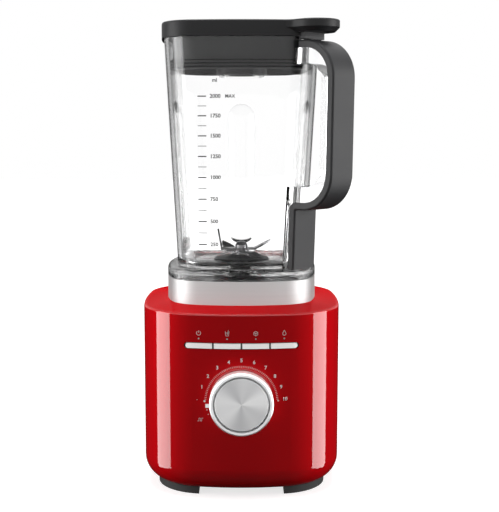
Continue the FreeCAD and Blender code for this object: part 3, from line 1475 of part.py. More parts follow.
def make_blades():
    driven = Piece("jar_coupling")
    tall = "mesh_depth + coupling_gap + driven_top"
    driven.pad(circle(driven.sketch(offset=DRIVEN), "driven_radius"), tall)
    root = circle(driven.sketch(offset=DRIVEN), "driver_root + coupling_gap")
    driven.pocket(root, "mesh_depth + coupling_gap", flip=True)
    length, width = "driver_tip + coupling_gap - driver_root / 2", "tooth_width + 2 * coupling_gap"
    tooth = rectangle(driven.sketch(offset=DRIVEN), length, width, f"driver_root / 2 + ({length}) / 2")
    driven.around([driven.pocket(tooth, "mesh_depth + coupling_gap", flip=True)], "tooth_count")
    bore = circle(driven.sketch(offset=DRIVEN), "blade_shaft_radius + fit_gap")
    driven.pocket(bore, tall, flip=True)

    nut_low = f"{BLADES} + 2 * blade_thickness + blade_gap"
    shaft = Piece("blade_shaft")
    low = f"{DRIVEN} + mesh_depth + coupling_gap"
    profile = [
        ("0", low),
        ("blade_shaft_radius", low),
        ("blade_shaft_radius", f"{BLADES} - shaft_collar"),
        ("blade_nut_radius", f"{BLADES} - shaft_collar"),
        ("blade_nut_radius", BLADES),
        ("blade_shaft_radius", BLADES),
        ("blade_shaft_radius", f"{nut_low} + blade_nut_height * 0.7"),
        ("0", f"{nut_low} + blade_nut_height * 0.7"),
    ]
    shaft.turn(polygon(shaft.sketch("XZ_Plane"), profile))
    blade("lower_blade", BLADES, "lower_heading", ("raised", "droop"), "blade_gap")
    upper = f"{BLADES} + blade_thickness + blade_gap"
    blade("upper_blade", upper, "upper_heading", ("steep", "shallow"), "0")
    nut = Piece("blade_nut")
    profile = [
        ("0", f"{nut_low} + blade_nut_height * 0.7 + fit_gap"),
        ("blade_shaft_radius + fit_gap", f"{nut_low} + blade_nut_height * 0.7 + fit_gap"),
        ("blade_shaft_radius + fit_gap", nut_low),
        ("blade_nut_radius", nut_low),
        ("blade_nut_radius", f"{nut_low} + blade_nut_height * 0.6"),
        ("blade_shaft_radius", f"{nut_low} + blade_nut_height * 1.2"),
        ("0", f"{nut_low} + blade_nut_height * 1.3"),
    ]
    nut.turn(polygon(nut.sketch("XZ_Plane"), profile))


# ---------------------------------------------------------------- lid and cap


def thumb_tab(sketch):
    """The tab's outline along the sketch's own X axis: a round end, and a flared neck inside the lid."""
    wide = "tab_radius"
    neck, root = "lid_width / 2 + tab_blend", "lid_width / 2 - 2 * tab_blend"
    flare = f"{wide} + 2 * tab_blend"
    half = [(root, flare, "0"), (neck, wide, "tab_blend"), ("tab_reach", wide, f"{wide} - fit_gap")]
    return rounded_polygon(sketch, [(x, f"-({y})", r) for x, y, r in half] + half[::-1])


def make_lid():
    """The lid: a thick rim with a thumb tab over the handle, a plug into the jar and a filling tube."""
    lid = Piece("lid")
    lid.pad(bowed_outline(lid.sketch(offset=LID), LID_OUTLINE), "lid_height")
    levels = ((LID_TOP, "tab_thickness - tab_chamfer", 0), (TAB_EDGE, "tab_chamfer", -TAB_SLOPE))
    for top, depth, taper in levels:
        tab = lid.pad(thumb_tab(lid.sketch(offset=top, turn=HANDLE_TURN)), depth, flip=True)
        tab.TaperAngle = taper
        doc.recompute()
    lid.round_level(LID_TOP, "lid_round")
    plug = bowed_outline(lid.sketch(offset=LID), PLUG_OUTLINE, PLUG_INSET)
    lid.pad(plug, "skirt_drop", flip=True)
    hollow = lid.sketch(offset=f"{LID} - skirt_drop")
    bowed_outline(hollow, PLUG_OUTLINE, f"{PLUG_INSET} + plug_wall")
    lid.pocket(hollow, "skirt_drop + lid_height - lid_top_wall", flip=True)
    boss = circle(lid.sketch(offset=LID_TOP), "cap_rim_radius + cap_gap + lid_top_wall")
    lid.pad(boss, "cap_rim_height + lid_top_wall", flip=True)
    tube = circle(lid.sketch(offset=LID), "tube_radius")
    lid.pad(tube, "tube_drop", flip=True)
    neck = circle(lid.sketch(offset=LID), "tube_radius")
    lid.pad(neck, "lid_height - cap_rim_height")
    recess = circle(lid.sketch(offset=LID_TOP), "cap_rim_radius + cap_gap")
    lid.pocket(recess, "cap_rim_height + lid_gap")
    lid.pocket(circle(lid.sketch(offset=LID_TOP), "tube_radius - tube_wall"), "lid_height + tube_drop")
    lug = lid.sketch(offset=f"{LID_TOP} - tab_thickness", turn=HANDLE_TURN)
    inner = f"{corner_reach(JAR_RIM_OUTLINE)} + slide_gap + lid_gap"
    rectangle(lug, "lug_thickness", "lug_width", f"{inner} + lug_thickness / 2")
    lid.pad(lug, "lid_height - tab_thickness + lug_drop", flip=True)

    gasket = Piece("lid_gasket")
    low = f"{LID} - skirt_drop + gasket_rise"
    back = f"{PLUG_INSET} - gasket_back"
    ring = bowed_outline(gasket.sketch(offset=low), PLUG_OUTLINE, back)
    bowed_outline(ring, PLUG_OUTLINE, f"{PLUG_INSET} - fit_gap")
    gasket.pad(ring, "gasket_height")
    for i in range(3):
        rib = gasket.sketch(offset=f"{low} + gasket_height * {i + 0.25} / 3")
        bowed_outline(rib, PLUG_OUTLINE, f"{back} - gasket_rib")
        bowed_outline(rib, PLUG_OUTLINE, f"{back} + gasket_back / 2")
        gasket.pad(rib, "gasket_height / 7")


def half_moon(sketch, radius, offset, way):
    """A circle's segment on one side of a bar along X, as far from the axis as the offset."""
    r, d = value(radius), value(offset)
    half = math.sqrt(r * r - d * d)
    a, b = Vector(half * way, d * way, 0), Vector(-half * way, d * way, 0)
    arc = Part.Arc(a, Vector(0, r * way, 0), b)
    first = sketch.addGeometry([arc, Part.LineSegment(b, a)])[0]
    sketch.addConstraint(Sketcher.Constraint("Block", first))
    sketch.addConstraint(Sketcher.Constraint("Block", first + 1))
    doc.recompute()
    return sketch


def make_cap():
    """The centre cap: a clear cup that hangs from its rim, with a finger bar across the recess on top."""
    cap = Piece("center_cap")
    radius = "tube_radius - tube_wall - cap_gap"
    depth = f"{LID_TOP} - ({LID} - tube_drop - cap_drop)"
    cap.pad(circle(cap.sketch(offset=LID_TOP), "cap_rim_radius"), "cap_rim_height", flip=True)
    cap.pad(circle(cap.sketch(offset=LID_TOP), radius), depth, flip=True)
    cap.pocket(
        circle(cap.sketch(offset=f"{LID_TOP} - ({depth})"), f"{radius} - cap_wall"),
        f"{depth} - cap_grip_depth - cap_floor",
        flip=True,
    )
    for way in (1, -1):
        well = cap.sketch(offset=LID_TOP)
        half_moon(well, "cap_grip_radius", "cap_grip_width / 2", way)
        cap.pocket(well, "cap_grip_depth")


def check_and_write():
    """Stops on a failed feature or a bad shape, then writes one STEP file for each piece."""
    doc.recompute()
    failed = [o.Label for o in doc.Objects if "Invalid" in o.State or "Error" in o.State]
    if failed:
        raise RuntimeError(f"failed features: {failed}")
    os.makedirs("parts", exist_ok=True)
    for name, piece in parts.items():
        shape = piece.Shape
        if shape.isNull() or not shape.isValid() or not shape.Solids:
            raise RuntimeError(f"{name} has no valid solid")
        shape.exportStep(f"parts/{name}.step")
        print(f"{name:22s} solids {len(shape.Solids)}  volume {shape.Volume / 1000:9.2f} cm3")


make_housing()
make_feet()
make_bottom_cover()
screws("cover_screws", cover_screw_places(), "foot_height", length="floor_thickness + screw_length - 2")
make_collar()
make_cord_gland()
make_motor_frame()
make_brushes()
make_armature()
make_fan_shroud()
make_dial()
make_buttons()
make_board()
make_jar()
make_grip()
make_blade_base()
make_blades()
make_lid()
make_cap()
check_and_write()
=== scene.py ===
"""Countertop blender: finishes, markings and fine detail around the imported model.

Metres, +Z up, the dial faces -Y.
"""

import math

import bmesh
import bpy
from mathutils import Matrix, Vector


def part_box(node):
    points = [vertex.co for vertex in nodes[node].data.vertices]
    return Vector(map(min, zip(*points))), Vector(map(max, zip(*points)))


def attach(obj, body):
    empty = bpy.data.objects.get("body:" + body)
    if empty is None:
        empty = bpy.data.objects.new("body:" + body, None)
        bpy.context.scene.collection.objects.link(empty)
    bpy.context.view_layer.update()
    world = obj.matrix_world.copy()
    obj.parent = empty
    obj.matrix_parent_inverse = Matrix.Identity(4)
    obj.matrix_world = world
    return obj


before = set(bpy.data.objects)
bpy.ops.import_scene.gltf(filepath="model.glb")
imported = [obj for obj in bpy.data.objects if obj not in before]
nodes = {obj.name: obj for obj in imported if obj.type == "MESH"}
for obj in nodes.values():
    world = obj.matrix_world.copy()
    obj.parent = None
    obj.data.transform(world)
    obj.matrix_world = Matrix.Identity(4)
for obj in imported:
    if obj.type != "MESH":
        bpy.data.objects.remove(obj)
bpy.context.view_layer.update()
MM = 0.001

# ---------------------------------------------------------------- shader helpers


class Signal:
    """A shader socket that carries one number, so that maths on it reads as Python."""

    def __init__(self, finish, socket):
        self.finish, self.socket = finish, socket

    def maths(self, operation, *values, clamp=False):
        settings = {"operation": operation, "use_clamp": clamp}
        inputs = {i: value for i, value in enumerate(values)}
        return self.finish.make("ShaderNodeMath", settings, inputs)

    def __add__(self, other):
        return self.maths("ADD", self, other)

    def __sub__(self, other):
        return self.maths("SUBTRACT", self, other)

    def __rsub__(self, other):
        return self.maths("SUBTRACT", other, self)

    def __mul__(self, other):
        return self.maths("MULTIPLY", self, other)

    def __truediv__(self, other):
        return self.maths("DIVIDE", self, other)

    def __pow__(self, other):
        return self.maths("POWER", self, other)

    __radd__ = __add__
    __rmul__ = __mul__

    def clamped(self):
        return self.maths("ADD", self, 0.0, clamp=True)

    def root(self):
        return self.maths("SQRT", self)

    def angle_to(self, other):
        return self.maths("ARCTAN2", self, other)

    def sine(self):
        return self.maths("SINE", self)


class Finish:
    """One material: a Principled surface, and short calls for the nodes that vary it."""

    def __init__(self, name, **surface):
        self.material = bpy.data.materials.new(name)
        self.material.use_nodes = True
        self.tree = self.material.node_tree
        self.tree.nodes.clear()
        self.shader = self.tree.nodes.new("ShaderNodeBsdfPrincipled")
        output = self.tree.nodes.new("ShaderNodeOutputMaterial")
        self.tree.links.new(self.shader.outputs[0], output.inputs["Surface"])
        for name, setting in surface.items():
            self.set(self.shader.inputs[name.replace("_", " ")], setting)

    def set(self, socket, setting):
        if isinstance(setting, Signal):
            setting = setting.socket
        if isinstance(setting, bpy.types.NodeSocket):
            self.tree.links.new(setting, socket)
        elif isinstance(setting, (tuple, list)) and len(setting) == 3 and socket.type == "RGBA":
            socket.default_value = (*setting, 1.0)
        else:
            socket.default_value = setting

    def make(self, kind, settings=None, inputs=None, output=0):
        """Adds a node: its settings first, then the values or links of its sockets."""
        node = self.tree.nodes.new(kind)
        for name, setting in (settings or {}).items():
            if name == "stops":
                ramp = node.color_ramp
                while len(ramp.elements) < len(setting):
                    ramp.elements.new(0.5)
                for element, (place, colour) in zip(ramp.elements, setting):
                    element.position, element.color = place, (*colour, 1.0)
            else:
                setattr(node, name, setting)
        for name, setting in (inputs or {}).items():
            self.set(node.inputs[name], setting)
        return Signal(self, node.outputs[output])

    def place(self, scale=(1, 1, 1)):
        """Object coordinates in metres, stretched."""
        where = self.make("ShaderNodeTexCoord", output="Object")
        return self.make("ShaderNodeMapping", {}, {"Vector": where, "Scale": scale})

    def axes(self):
        """Object coordinates as three numbers."""
        where = self.make("ShaderNodeTexCoord", output="Object")
        split = self.tree.nodes.new("ShaderNodeSeparateXYZ")
        self.set(split.inputs[0], where)
        return [Signal(self, output) for output in split.outputs]

    def noise(self, scale, detail=3.0, rough=0.5, vector=None):
        inputs = {"Vector": vector or self.place(), "Scale": scale, "Detail": detail, "Roughness": rough}
        return self.make("ShaderNodeTexNoise", {}, inputs)

    def between(self, factor, low, high):
        """A colour that goes from low to high with the factor."""
        inputs = {"Factor": factor, 6: low, 7: high}
        return self.make("ShaderNodeMix", {"data_type": "RGBA"}, inputs, output=2)

    def bump(self, height, distance, strength=1.0):
        inputs = {"Height": height, "Distance": distance, "Strength": strength}
        self.set(self.shader.inputs["Normal"], self.make("ShaderNodeBump", {}, inputs))

    def vary(self, socket, factor, low, high):
        """A number on the surface that goes from low to high with the factor."""
        self.set(self.shader.inputs[socket], factor * (high - low) + low)


# ---------------------------------------------------------------- finishes


def candy_red():
    """Deep red with a fine metal flake under a clear gloss coat, which alone gives the sharp reflections."""
    made = Finish("candy_red", Coat_Roughness=0.015, Coat_IOR=1.5, Specular_IOR_Level=0.0)
    flake = made.noise(9000.0, 1.0)
    colour = made.between(flake, (0.5, 0.001, 0.003), (0.68, 0.003, 0.008))
    made.set(made.shader.inputs["Base Color"], colour)
    made.vary("Roughness", flake, 0.38, 0.5)
    _, _, z = made.axes()
    deck = ((z - DECK_EDGE) / (1.5 * MM)).clamped()
    made.vary("Coat Weight", deck, 1.0, 0.08)
    made.vary("Metallic", deck, 0.12, 0.0)
    return made.material


def moulded(name, dark, light, rough, grain=2600.0, depth=0.00003, shine=0.5):
    """Moulded plastic with a fine even grain and a little variation in gloss."""
    made = Finish(name, Specular_IOR_Level=shine)
    patch = made.noise(35.0, 4.0)
    made.set(made.shader.inputs["Base Color"], made.between(patch, dark, light))
    made.vary("Roughness", patch, rough - 0.05, rough + 0.07)
    made.bump(made.noise(grain, 2.0), depth, 0.5)
    return made.material


def lid_plastic():
    """Charcoal on the outside, and a lighter grey plug below the jar's rim."""
    made = Finish("lid_charcoal", Specular_IOR_Level=0.2)
    _, _, z = made.axes()
    plug = ((JAR_TOP - z) / (0.3 * MM)).clamped()
    patch = made.noise(35.0, 4.0)
    outside = made.between(patch, (0.012, 0.012, 0.013), (0.018, 0.018, 0.019))
    made.set(made.shader.inputs["Base Color"], made.between(plug, outside, (0.04, 0.04, 0.041)))
    made.vary("Roughness", patch, 0.38, 0.5)
    made.bump(made.noise(2600.0, 2.0), 0.00003, 0.5)
    return made.material


def ribbed_rubber():
    """Dark rubber, with black lines of painted shade on the thin ribs where it presses on the jar."""
    made = Finish("ribbed_rubber", Roughness=0.6, Specular_IOR_Level=0.1)
    _, _, z = made.axes()
    # painted shade: black stripes at the rib pitch stand for the shadows between the ribs
    painted_rib_shade = (((z - GASKET_FOOT) * (2 * math.pi / RIB_PITCH) - 1.35).sine() * 4.0 - 0.6).clamped()
    colour = made.between(painted_rib_shade, (0.055, 0.055, 0.056), (0.001, 0.001, 0.001))
    made.set(made.shader.inputs["Base Color"], colour)
    return made.material


def clear(name, edge_shade, foot=0.0):
    """Clear moulded plastic with painted shade: darker where it is seen edge on, grey in the handle, and
    dark painted refraction in the folds of a thick foot.
    """
    made = Finish(
        name, Transmission_Weight=1.0, Roughness=0.0, IOR=1.49, Specular_Tint=(0.35, 0.35, 0.35)
    )
    # painted shade: the colour darkens where the plastic is seen edge on, in place of the dim surroundings
    # seen through it
    facing = made.make("ShaderNodeLayerWeight", {}, {"Blend": 0.5}, output="Facing")
    dim = tuple(0.2 + 0.8 * c for c in edge_shade)
    stops = [(0.0, (1, 1, 1)), (0.42, (0.985, 0.987, 0.988)), (0.5, dim), (1.0, edge_shade)]
    edge_shade_ramp = made.make("ShaderNodeValToRGB", {"stops": stops}, {"Fac": facing})
    x, y, z = made.axes()
    # painted shade: the handle's clear core is given a flat grey
    handle = ((x - y) * (1 / math.sqrt(2) / MM) - HANDLE_START / MM).clamped()
    walls = made.between(handle, edge_shade_ramp, (0.86, 0.86, 0.865))
    low = ((FOOT_TOP - z) * (1 / (6 * MM))).clamped() * foot
    floor = ((z - JAR_SHOULDER + 1.5 * MM) * (1 / (2 * MM))).clamped()
    # painted refraction: dark patches in the thick foot stand for dim surroundings bent through it
    painted_dark_refraction = ((made.noise(1.0, 3.0, 0.6, made.place((30.0, 80.0, 260.0))) - 0.47) * 8.0).clamped()
    foot_painted_refraction = made.between(painted_dark_refraction * floor, (0.95, 0.95, 0.95), (0.12, 0.12, 0.12))
    made.set(made.shader.inputs["Base Color"], made.between(low, walls, foot_painted_refraction))
    ripple = made.noise(1.0, 3.0, 0.6, made.place((38.0, 38.0, 420.0)))
    made.bump(ripple * low, 0.0016, 1.0)
    return made.material


def brushed_around(name, dark, light, rough, streak=5200.0):
    """Sheet steel brushed along its length: long level streaks, much finer up and down."""
    made = Finish(name, Metallic=1.0)
    lines = made.noise(1.0, 4.0, 0.65, made.place((14.0, 14.0, streak)))
    broad = made.noise(1.0, 2.0, 0.5, made.place((6.0, 6.0, streak * 0.12)))
    made.set(made.shader.inputs["Base Color"], made.between(lines, dark, light))
    made.vary("Roughness", broad, rough - 0.06, rough + 0.08)
    made.bump(lines, 0.00002, 0.55)
    return made.material


def machined(name, dark, light, rough, grain=900.0, metallic=1.0):
    """Plain metal with a fine, uneven surface."""
    made = Finish(name, Metallic=metallic)
    patch = made.noise(grain, 4.0, 0.6)
    made.set(made.shader.inputs["Base Color"], made.between(patch, dark, light))
    made.vary("Roughness", patch, rough - 0.08, rough + 0.08)
    made.bump(patch, 0.00003, 0.3)
    return made.material


def spun_disc():
    """The dial's face: a disc turned on a lathe, with very fine rings, and the fans of light they give
    painted into its colour as highlights.
    """
    made = Finish("spun_disc", Metallic=1.0, Roughness=0.45)
    x, _, z = made.axes()
    up = z - DIAL_HEIGHT
    radius = (x * x + up * up).root()
    fan = up.angle_to(x)
    rings = made.noise(1.0, 3.0, 0.6, made.make("ShaderNodeCombineXYZ", {}, {0: radius * 9000.0}))
    # painted highlight: bright fans set by angle round the disc's centre
    broad = ((fan * 2.0 + 1.1).sine() * 0.5 + 0.5) ** 1.6
    narrow = ((fan * 5.0 + 0.4).sine() * 0.5 + 0.5) * 0.35
    light = (broad * 0.75 + narrow).clamped()
    made.set(made.shader.inputs["Base Color"], made.between(light, (0.64, 0.64, 0.65), (1.0, 1.0, 1.0)))
    made.bump(rings, 0.00004, 0.5)
    return made.material


def laminated():
    """A stack of thin steel sheets: fine dark lines, one for each sheet."""
    made = Finish("laminated_iron", Metallic=0.9)
    _, _, z = made.axes()
    sheets = (z * (2 * math.pi / SHEET_PITCH)).sine() * 0.5 + 0.5
    made.set(made.shader.inputs["Base Color"], made.between(sheets, (0.12, 0.125, 0.13), (0.36, 0.37, 0.38)))
    made.vary("Roughness", sheets, 0.4, 0.55)
    made.bump(sheets, 0.0001, 0.6)
    return made.material


def wound():
    """Enamelled wire laid side by side."""
    made = Finish("wound_copper", Metallic=0.85)
    x, y, z = made.axes()
    wires = ((x + y + z * 0.6) * (2 * math.pi / WIRE_PITCH)).sine() * 0.5 + 0.5
    made.set(made.shader.inputs["Base Color"], made.between(wires, (0.28, 0.09, 0.03), (0.78, 0.36, 0.17)))
    made.vary("Roughness", wires, 0.3, 0.45)
    made.bump(wires, 0.0002, 0.7)
    return made.material


def board():
    """Green board with paler copper tracks under the lacquer."""
    made = Finish("board_green", Coat_Weight=0.6, Coat_Roughness=0.2)
    inputs = {"Vector": made.place(), "Scale": 130.0}
    cells = made.make("ShaderNodeTexVoronoi", {"distance": "MANHATTAN"}, inputs, output="Distance")
    made.set(made.shader.inputs["Base Color"], made.between(cells, (0.01, 0.10, 0.035), (0.05, 0.30, 0.12)))
    made.vary("Roughness", cells, 0.35, 0.5)
    return made.material


def printed(name, colour):
    """Screen-printed ink, with the slightly uneven cover it has."""
    made = Finish(name, Roughness=0.45)
    cover = made.noise(4000.0, 2.0)
    made.set(made.shader.inputs["Base Color"], made.between(cover, tuple(c * 0.9 for c in colour), colour))
    return made.material


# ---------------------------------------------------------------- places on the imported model

dial_low, dial_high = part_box("dial_face")
key_low, key_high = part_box("button_smoothie")
gasket_low, gasket_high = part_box("lid_gasket")

DIAL_HEIGHT = (dial_low.z + dial_high.z) / 2
KEY_HEIGHT = (key_low.z + key_high.z) / 2
HOUSING_FRONT = -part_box("base_housing")[0].y
HOUSING_BOW = 245 * MM
JAR_BOW = 380 * MM
JAR_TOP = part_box("jar")[1].z
JAR_SHOULDER = 209 * MM
FOOT_TOP = 216 * MM
GASKET_FOOT = gasket_low.z
RIB_PITCH = (gasket_high.z - gasket_low.z) / 3
DECK_EDGE = 171.5 * MM
HANDLE_START = 88 * MM
JAR_HALF_TOP = 73.35 * MM
JAR_HALF_FOOT = 61.75 * MM
INK = 0.06 * MM
SHEET_PITCH = 1.0 * MM
WIRE_PITCH = 0.9 * MM
SHADOW_RADIUS = 0.25
SIDE_LIGHT_Y = -0.159


def setback(x, bow):
    """How far a bowed front falls away from its middle."""
    return bow - math.sqrt(bow * bow - x * x)


def on_housing(x, z):
    return Vector((x, setback(x, HOUSING_BOW) - HOUSING_FRONT, z))


def on_jar(x, z):
    rise = (z - JAR_SHOULDER) / (JAR_TOP - JAR_SHOULDER)
    half = JAR_HALF_FOOT + (JAR_HALF_TOP - JAR_HALF_FOOT) * rise
    return Vector((x, setback(x, JAR_BOW) - half, z))


# ---------------------------------------------------------------- flat artwork, printed on a curved front


class Artwork:
    """Flat shapes drawn in the X-Z plane, then laid on a curved surface as one thin printed piece."""

    def __init__(self):
        self.mesh = bmesh.new()

    def polygon(self, points):
        self.mesh.faces.new([self.mesh.verts.new((x, 0, z)) for x, z in points])

    def disc(self, x, z, radius, steps=20):
        turns = [2 * math.pi * i / steps for i in range(steps)]
        self.polygon([(x + radius * math.cos(a), z + radius * math.sin(a)) for a in turns])

    def stroke(self, points, width, closed=False):
        """A line of even width through some points, with mitred corners."""
        count = len(points)
        path = [Vector(p) for p in points]
        sides = []
        for i, point in enumerate(path):
            before = path[i - 1] if i or closed else None
            after = path[(i + 1) % count] if i + 1 < count or closed else None
            into = (point - before).normalized() if before is not None else (after - point).normalized()
            out = (after - point).normalized() if after is not None else into
            normal = Vector((-(into.y + out.y), into.x + out.x)).normalized()
            reach = width / 2 / max(0.4, normal.dot(Vector((-into.y, into.x))))
            sides.append((point + normal * reach, point - normal * reach))
        for i in range(count if closed else count - 1):
            (a, b), (c, d) = sides[i], sides[(i + 1) % count]
            self.polygon([a, b, d, c])

    def arc(self, x, z, radius, start, end, width, steps=24):
        turns = [math.radians(start + (end - start) * i / steps) for i in range(steps + 1)]
        self.stroke([(x + radius * math.cos(a), z + radius * math.sin(a)) for a in turns], width)

    def words(self, text, x, z, size, align="CENTER", bold=0.0):
        """Plain lettering, centred in height on z; bold widens its lines on either side."""
        curve = bpy.data.curves.new("lettering", "FONT")
        curve.body, curve.size, curve.align_x, curve.align_y = text, size, align, "CENTER"
        curve.resolution_u, curve.offset = 3, bold
        holder = bpy.data.objects.new("lettering", curve)
        bpy.context.scene.collection.objects.link(holder)
        bpy.context.view_layer.update()
        flat = bpy.data.meshes.new_from_object(holder.evaluated_get(bpy.context.evaluated_depsgraph_get()))
        flat.transform(Matrix.Translation((x, 0, z)) @ Matrix.Rotation(math.pi / 2, 4, "X"))
        self.mesh.from_mesh(flat)
        bpy.data.objects.remove(holder)

    def add(self, other):
        """Takes in a mesh that lies in the X-Z plane."""
        self.mesh.from_mesh(other)

    def print_on(self, name, surface, body, material):
        """Lays the artwork on the surface with the thickness of ink."""
        bmesh.ops.remove_doubles(self.mesh, verts=self.mesh.verts, dist=0.002 * MM)
        longest, rounds = 2.0 * MM, 3
        for _ in range(rounds):
            long = [e for e in self.mesh.edges if e.calc_length() > longest]
            if not long:
                break
            bmesh.ops.subdivide_edges(self.mesh, edges=long, cuts=1, use_grid_fill=True)
        bmesh.ops.triangulate(self.mesh, faces=self.mesh.faces)
        bmesh.ops.recalc_face_normals(self.mesh, faces=self.mesh.faces)
        for face in self.mesh.faces:
            if face.normal.y > 0:
                face.normal_flip()
        for vert in self.mesh.verts:
            vert.co = surface(vert.co.x, vert.co.z) - Vector((0, INK, 0))
        piece = finished_mesh(name, self.mesh, material)
        solid = piece.modifiers.new("ink", "SOLIDIFY")
        solid.thickness, solid.offset = INK * 0.8, -1.0
        apply_modifiers(piece)
        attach(piece, body)


def finished_mesh(name, source, material):
    """A new piece at the origin, from a bmesh."""
    mesh = bpy.data.meshes.new(name)
    source.to_mesh(mesh)
    source.free()
    piece = bpy.data.objects.new(name, mesh)
    bpy.context.scene.collection.objects.link(piece)
    mesh.materials.append(material)
    return piece


def apply_modifiers(piece):
    """Turns the piece with its modifiers into a plain mesh."""
    bpy.context.view_layer.update()
    plain = bpy.data.meshes.new_from_object(piece.evaluated_get(bpy.context.evaluated_depsgraph_get()))
    piece.modifiers.clear()
    piece.data = plain


# ---------------------------------------------------------------- ticks made by geometry nodes


def tick_tree():
    """Geometry nodes: bars set round an arc, from named inputs for their count, size, radius and angles."""
    tree = bpy.data.node_groups.new("ticks_on_an_arc", "GeometryNodeTree")
    face = tree.interface
    for name, kind in (
        ("Count", "NodeSocketInt"),
        ("Radius", "NodeSocketFloat"),
        ("Length", "NodeSocketFloat"),
        ("Width", "NodeSocketFloat"),
        ("First Angle", "NodeSocketFloat"),
        ("Step", "NodeSocketFloat"),
        ("Material", "NodeSocketMaterial"),
    ):
        face.new_socket(name, in_out="INPUT", socket_type=kind)
    face.new_socket("Geometry", in_out="OUTPUT", socket_type="NodeSocketGeometry")

    def make(kind, settings=None, **inputs):
        node = tree.nodes.new(kind)
        for key, setting in (settings or {}).items():
            setattr(node, key, setting)
        for key, setting in inputs.items():
            socket = node.inputs[int(key[1:]) if key[0] == "_" else key.replace("_", " ")]
            if isinstance(setting, bpy.types.NodeSocket):
                tree.links.new(setting, socket)
            else:
                socket.default_value = setting
        return node.outputs[0]

    given = tree.nodes.new("NodeGroupInput").outputs
    bar = make(
        "GeometryNodeMeshGrid", Size_X=given["Length"], Size_Y=given["Width"], Vertices_X=2, Vertices_Y=2
    )
    outward = make("ShaderNodeCombineXYZ", X=given["Radius"])
    moved = make("GeometryNodeTransform", Geometry=bar, Translation=outward)
    index = make("GeometryNodeInputIndex")
    turned = make(
        "ShaderNodeMath", {"operation": "MULTIPLY_ADD"}, _0=index, _1=given["Step"], _2=given["First Angle"]
    )
    spot = make("GeometryNodePoints", Count=given["Count"])
    rotation = make("ShaderNodeCombineXYZ", Z=turned)
    bars = make("GeometryNodeInstanceOnPoints", Points=spot, Instance=moved, Rotation=rotation)
    real = make("GeometryNodeRealizeInstances", Geometry=bars)
    inked = make("GeometryNodeSetMaterial", Geometry=real, Material=given["Material"])
    output = tree.nodes.new("NodeGroupOutput")
    tree.links.new(inked, output.inputs[0])
    return tree


def arc_ticks(tree, centre_z, material, **sizes):
    """The tree's bars as a plain mesh that stands in the X-Z plane."""
    mesh = bpy.data.meshes.new("ticks")
    holder = bpy.data.objects.new("ticks", mesh)
    bpy.context.scene.collection.objects.link(holder)
    maker = holder.modifiers.new("ticks", "NODES")
    maker.node_group = tree
    sockets = {item.name: item.identifier for item in tree.interface.items_tree if item.in_out == "INPUT"}
    for name, size in {**sizes, "Material": material}.items():
        maker[sockets[name.replace("_", " ")]] = size
    bpy.context.view_layer.update()
    flat = bpy.data.meshes.new_from_object(holder.evaluated_get(bpy.context.evaluated_depsgraph_get()))
    flat.transform(Matrix.Translation((0, 0, centre_z)) @ Matrix.Rotation(math.pi / 2, 4, "X"))
    bpy.data.objects.remove(holder)
    return flat


# ---------------------------------------------------------------- markings


def print_dial_scale(ink):
    """Speed marks round the dial: fine ticks, the numbers, a stop dot and two dots for short bursts."""
    art = Artwork()
    first, last, count, radius = 176.0, 4.0, 61, 32.8 * MM
    step = math.radians((last - first) / (count - 1))
    art.add(
        arc_ticks(
            tick_tree(), DIAL_HEIGHT, ink, Count=count, Radius=radius, Length=1.7 * MM, Width=0.3 * MM,
            First_Angle=math.radians(first), Step=step,
        )
    )
    top_number, between = 5, 17.4
    for number in range(1, 11):
        angle = math.radians(90 - between * (number - top_number))
        reach = (38.4 if number < 10 else 39.6) * MM
        across, up = reach * math.cos(angle), DIAL_HEIGHT + reach * math.sin(angle)
        art.words(str(number), across, up, 4.6 * MM, bold=0.08 * MM)
    dots = (
        (179.5, 33.6, 1.0), (1.5, 33.4, 0.7), (193.7, 32.4, 0.45), (201.5, 32.4, 0.45), (178.0, 40.5, 0.35),
    )
    for angle, reach, size in dots:
        turn = math.radians(angle)
        art.disc(reach * MM * math.cos(turn), DIAL_HEIGHT + reach * MM * math.sin(turn), size * MM)
    left, level, half = -37.5 * MM, DIAL_HEIGHT - 17.0 * MM, 1.3 * MM
    wave = [(-2, -1), (-1, -1), (-1, 1), (0, 1), (0, -1), (1, -1), (1, 1), (2, 1)]
    art.stroke([(left + x * 1.3 * MM, level + z * half) for x, z in wave], 0.35 * MM)
    art.print_on("dial_scale", on_housing, "base", ink)


def print_key_icons(ink):
    """A plain pictogram above each key: power, a glass, an ice cube and a drop."""
    art = Artwork()
    centres = [(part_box(f"button_{name}")[0].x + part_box(f"button_{name}")[1].x) / 2 for name in KEYS]
    level, line = KEY_HEIGHT + 11.6 * MM, 0.42 * MM
    power, glass, ice, drop = centres
    art.arc(power, level, 1.9 * MM, 125, 415, line)
    art.stroke([(power, level + 0.3 * MM), (power, level + 2.4 * MM)], line)
    cup = [(-1.7, 2.0), (-1.2, -2.1), (1.2, -2.1), (1.7, 2.0)]
    art.stroke([(glass + x * MM, level + z * MM) for x, z in cup], line)
    art.stroke([(glass - 1.5 * MM, level + 0.6 * MM), (glass + 1.5 * MM, level + 0.6 * MM)], line)
    art.stroke([(glass + 0.1 * MM, level - 1.2 * MM), (glass + 1.1 * MM, level + 3.1 * MM)], line)
    turns = [math.radians(a) for a in range(30, 390, 60)]
    corners = [(2.1 * MM * math.cos(a), 2.1 * MM * math.sin(a)) for a in turns]
    art.stroke([(ice + x, level + z) for x, z in corners], line, closed=True)
    for x, z in corners[::2]:
        art.stroke([(ice, level), (ice + x, level + z)], line)
    tip = [
        (0, 2.6), (-1.2, 0.5), (-1.55, -0.5), (-1.1, -1.6), (0, -2.1), (1.1, -1.6), (1.55, -0.5), (1.2, 0.5),
    ]
    art.stroke([(drop + x * MM, level + z * MM) for x, z in tip], line, closed=True)
    art.print_on("key_icons", on_housing, "base", ink)


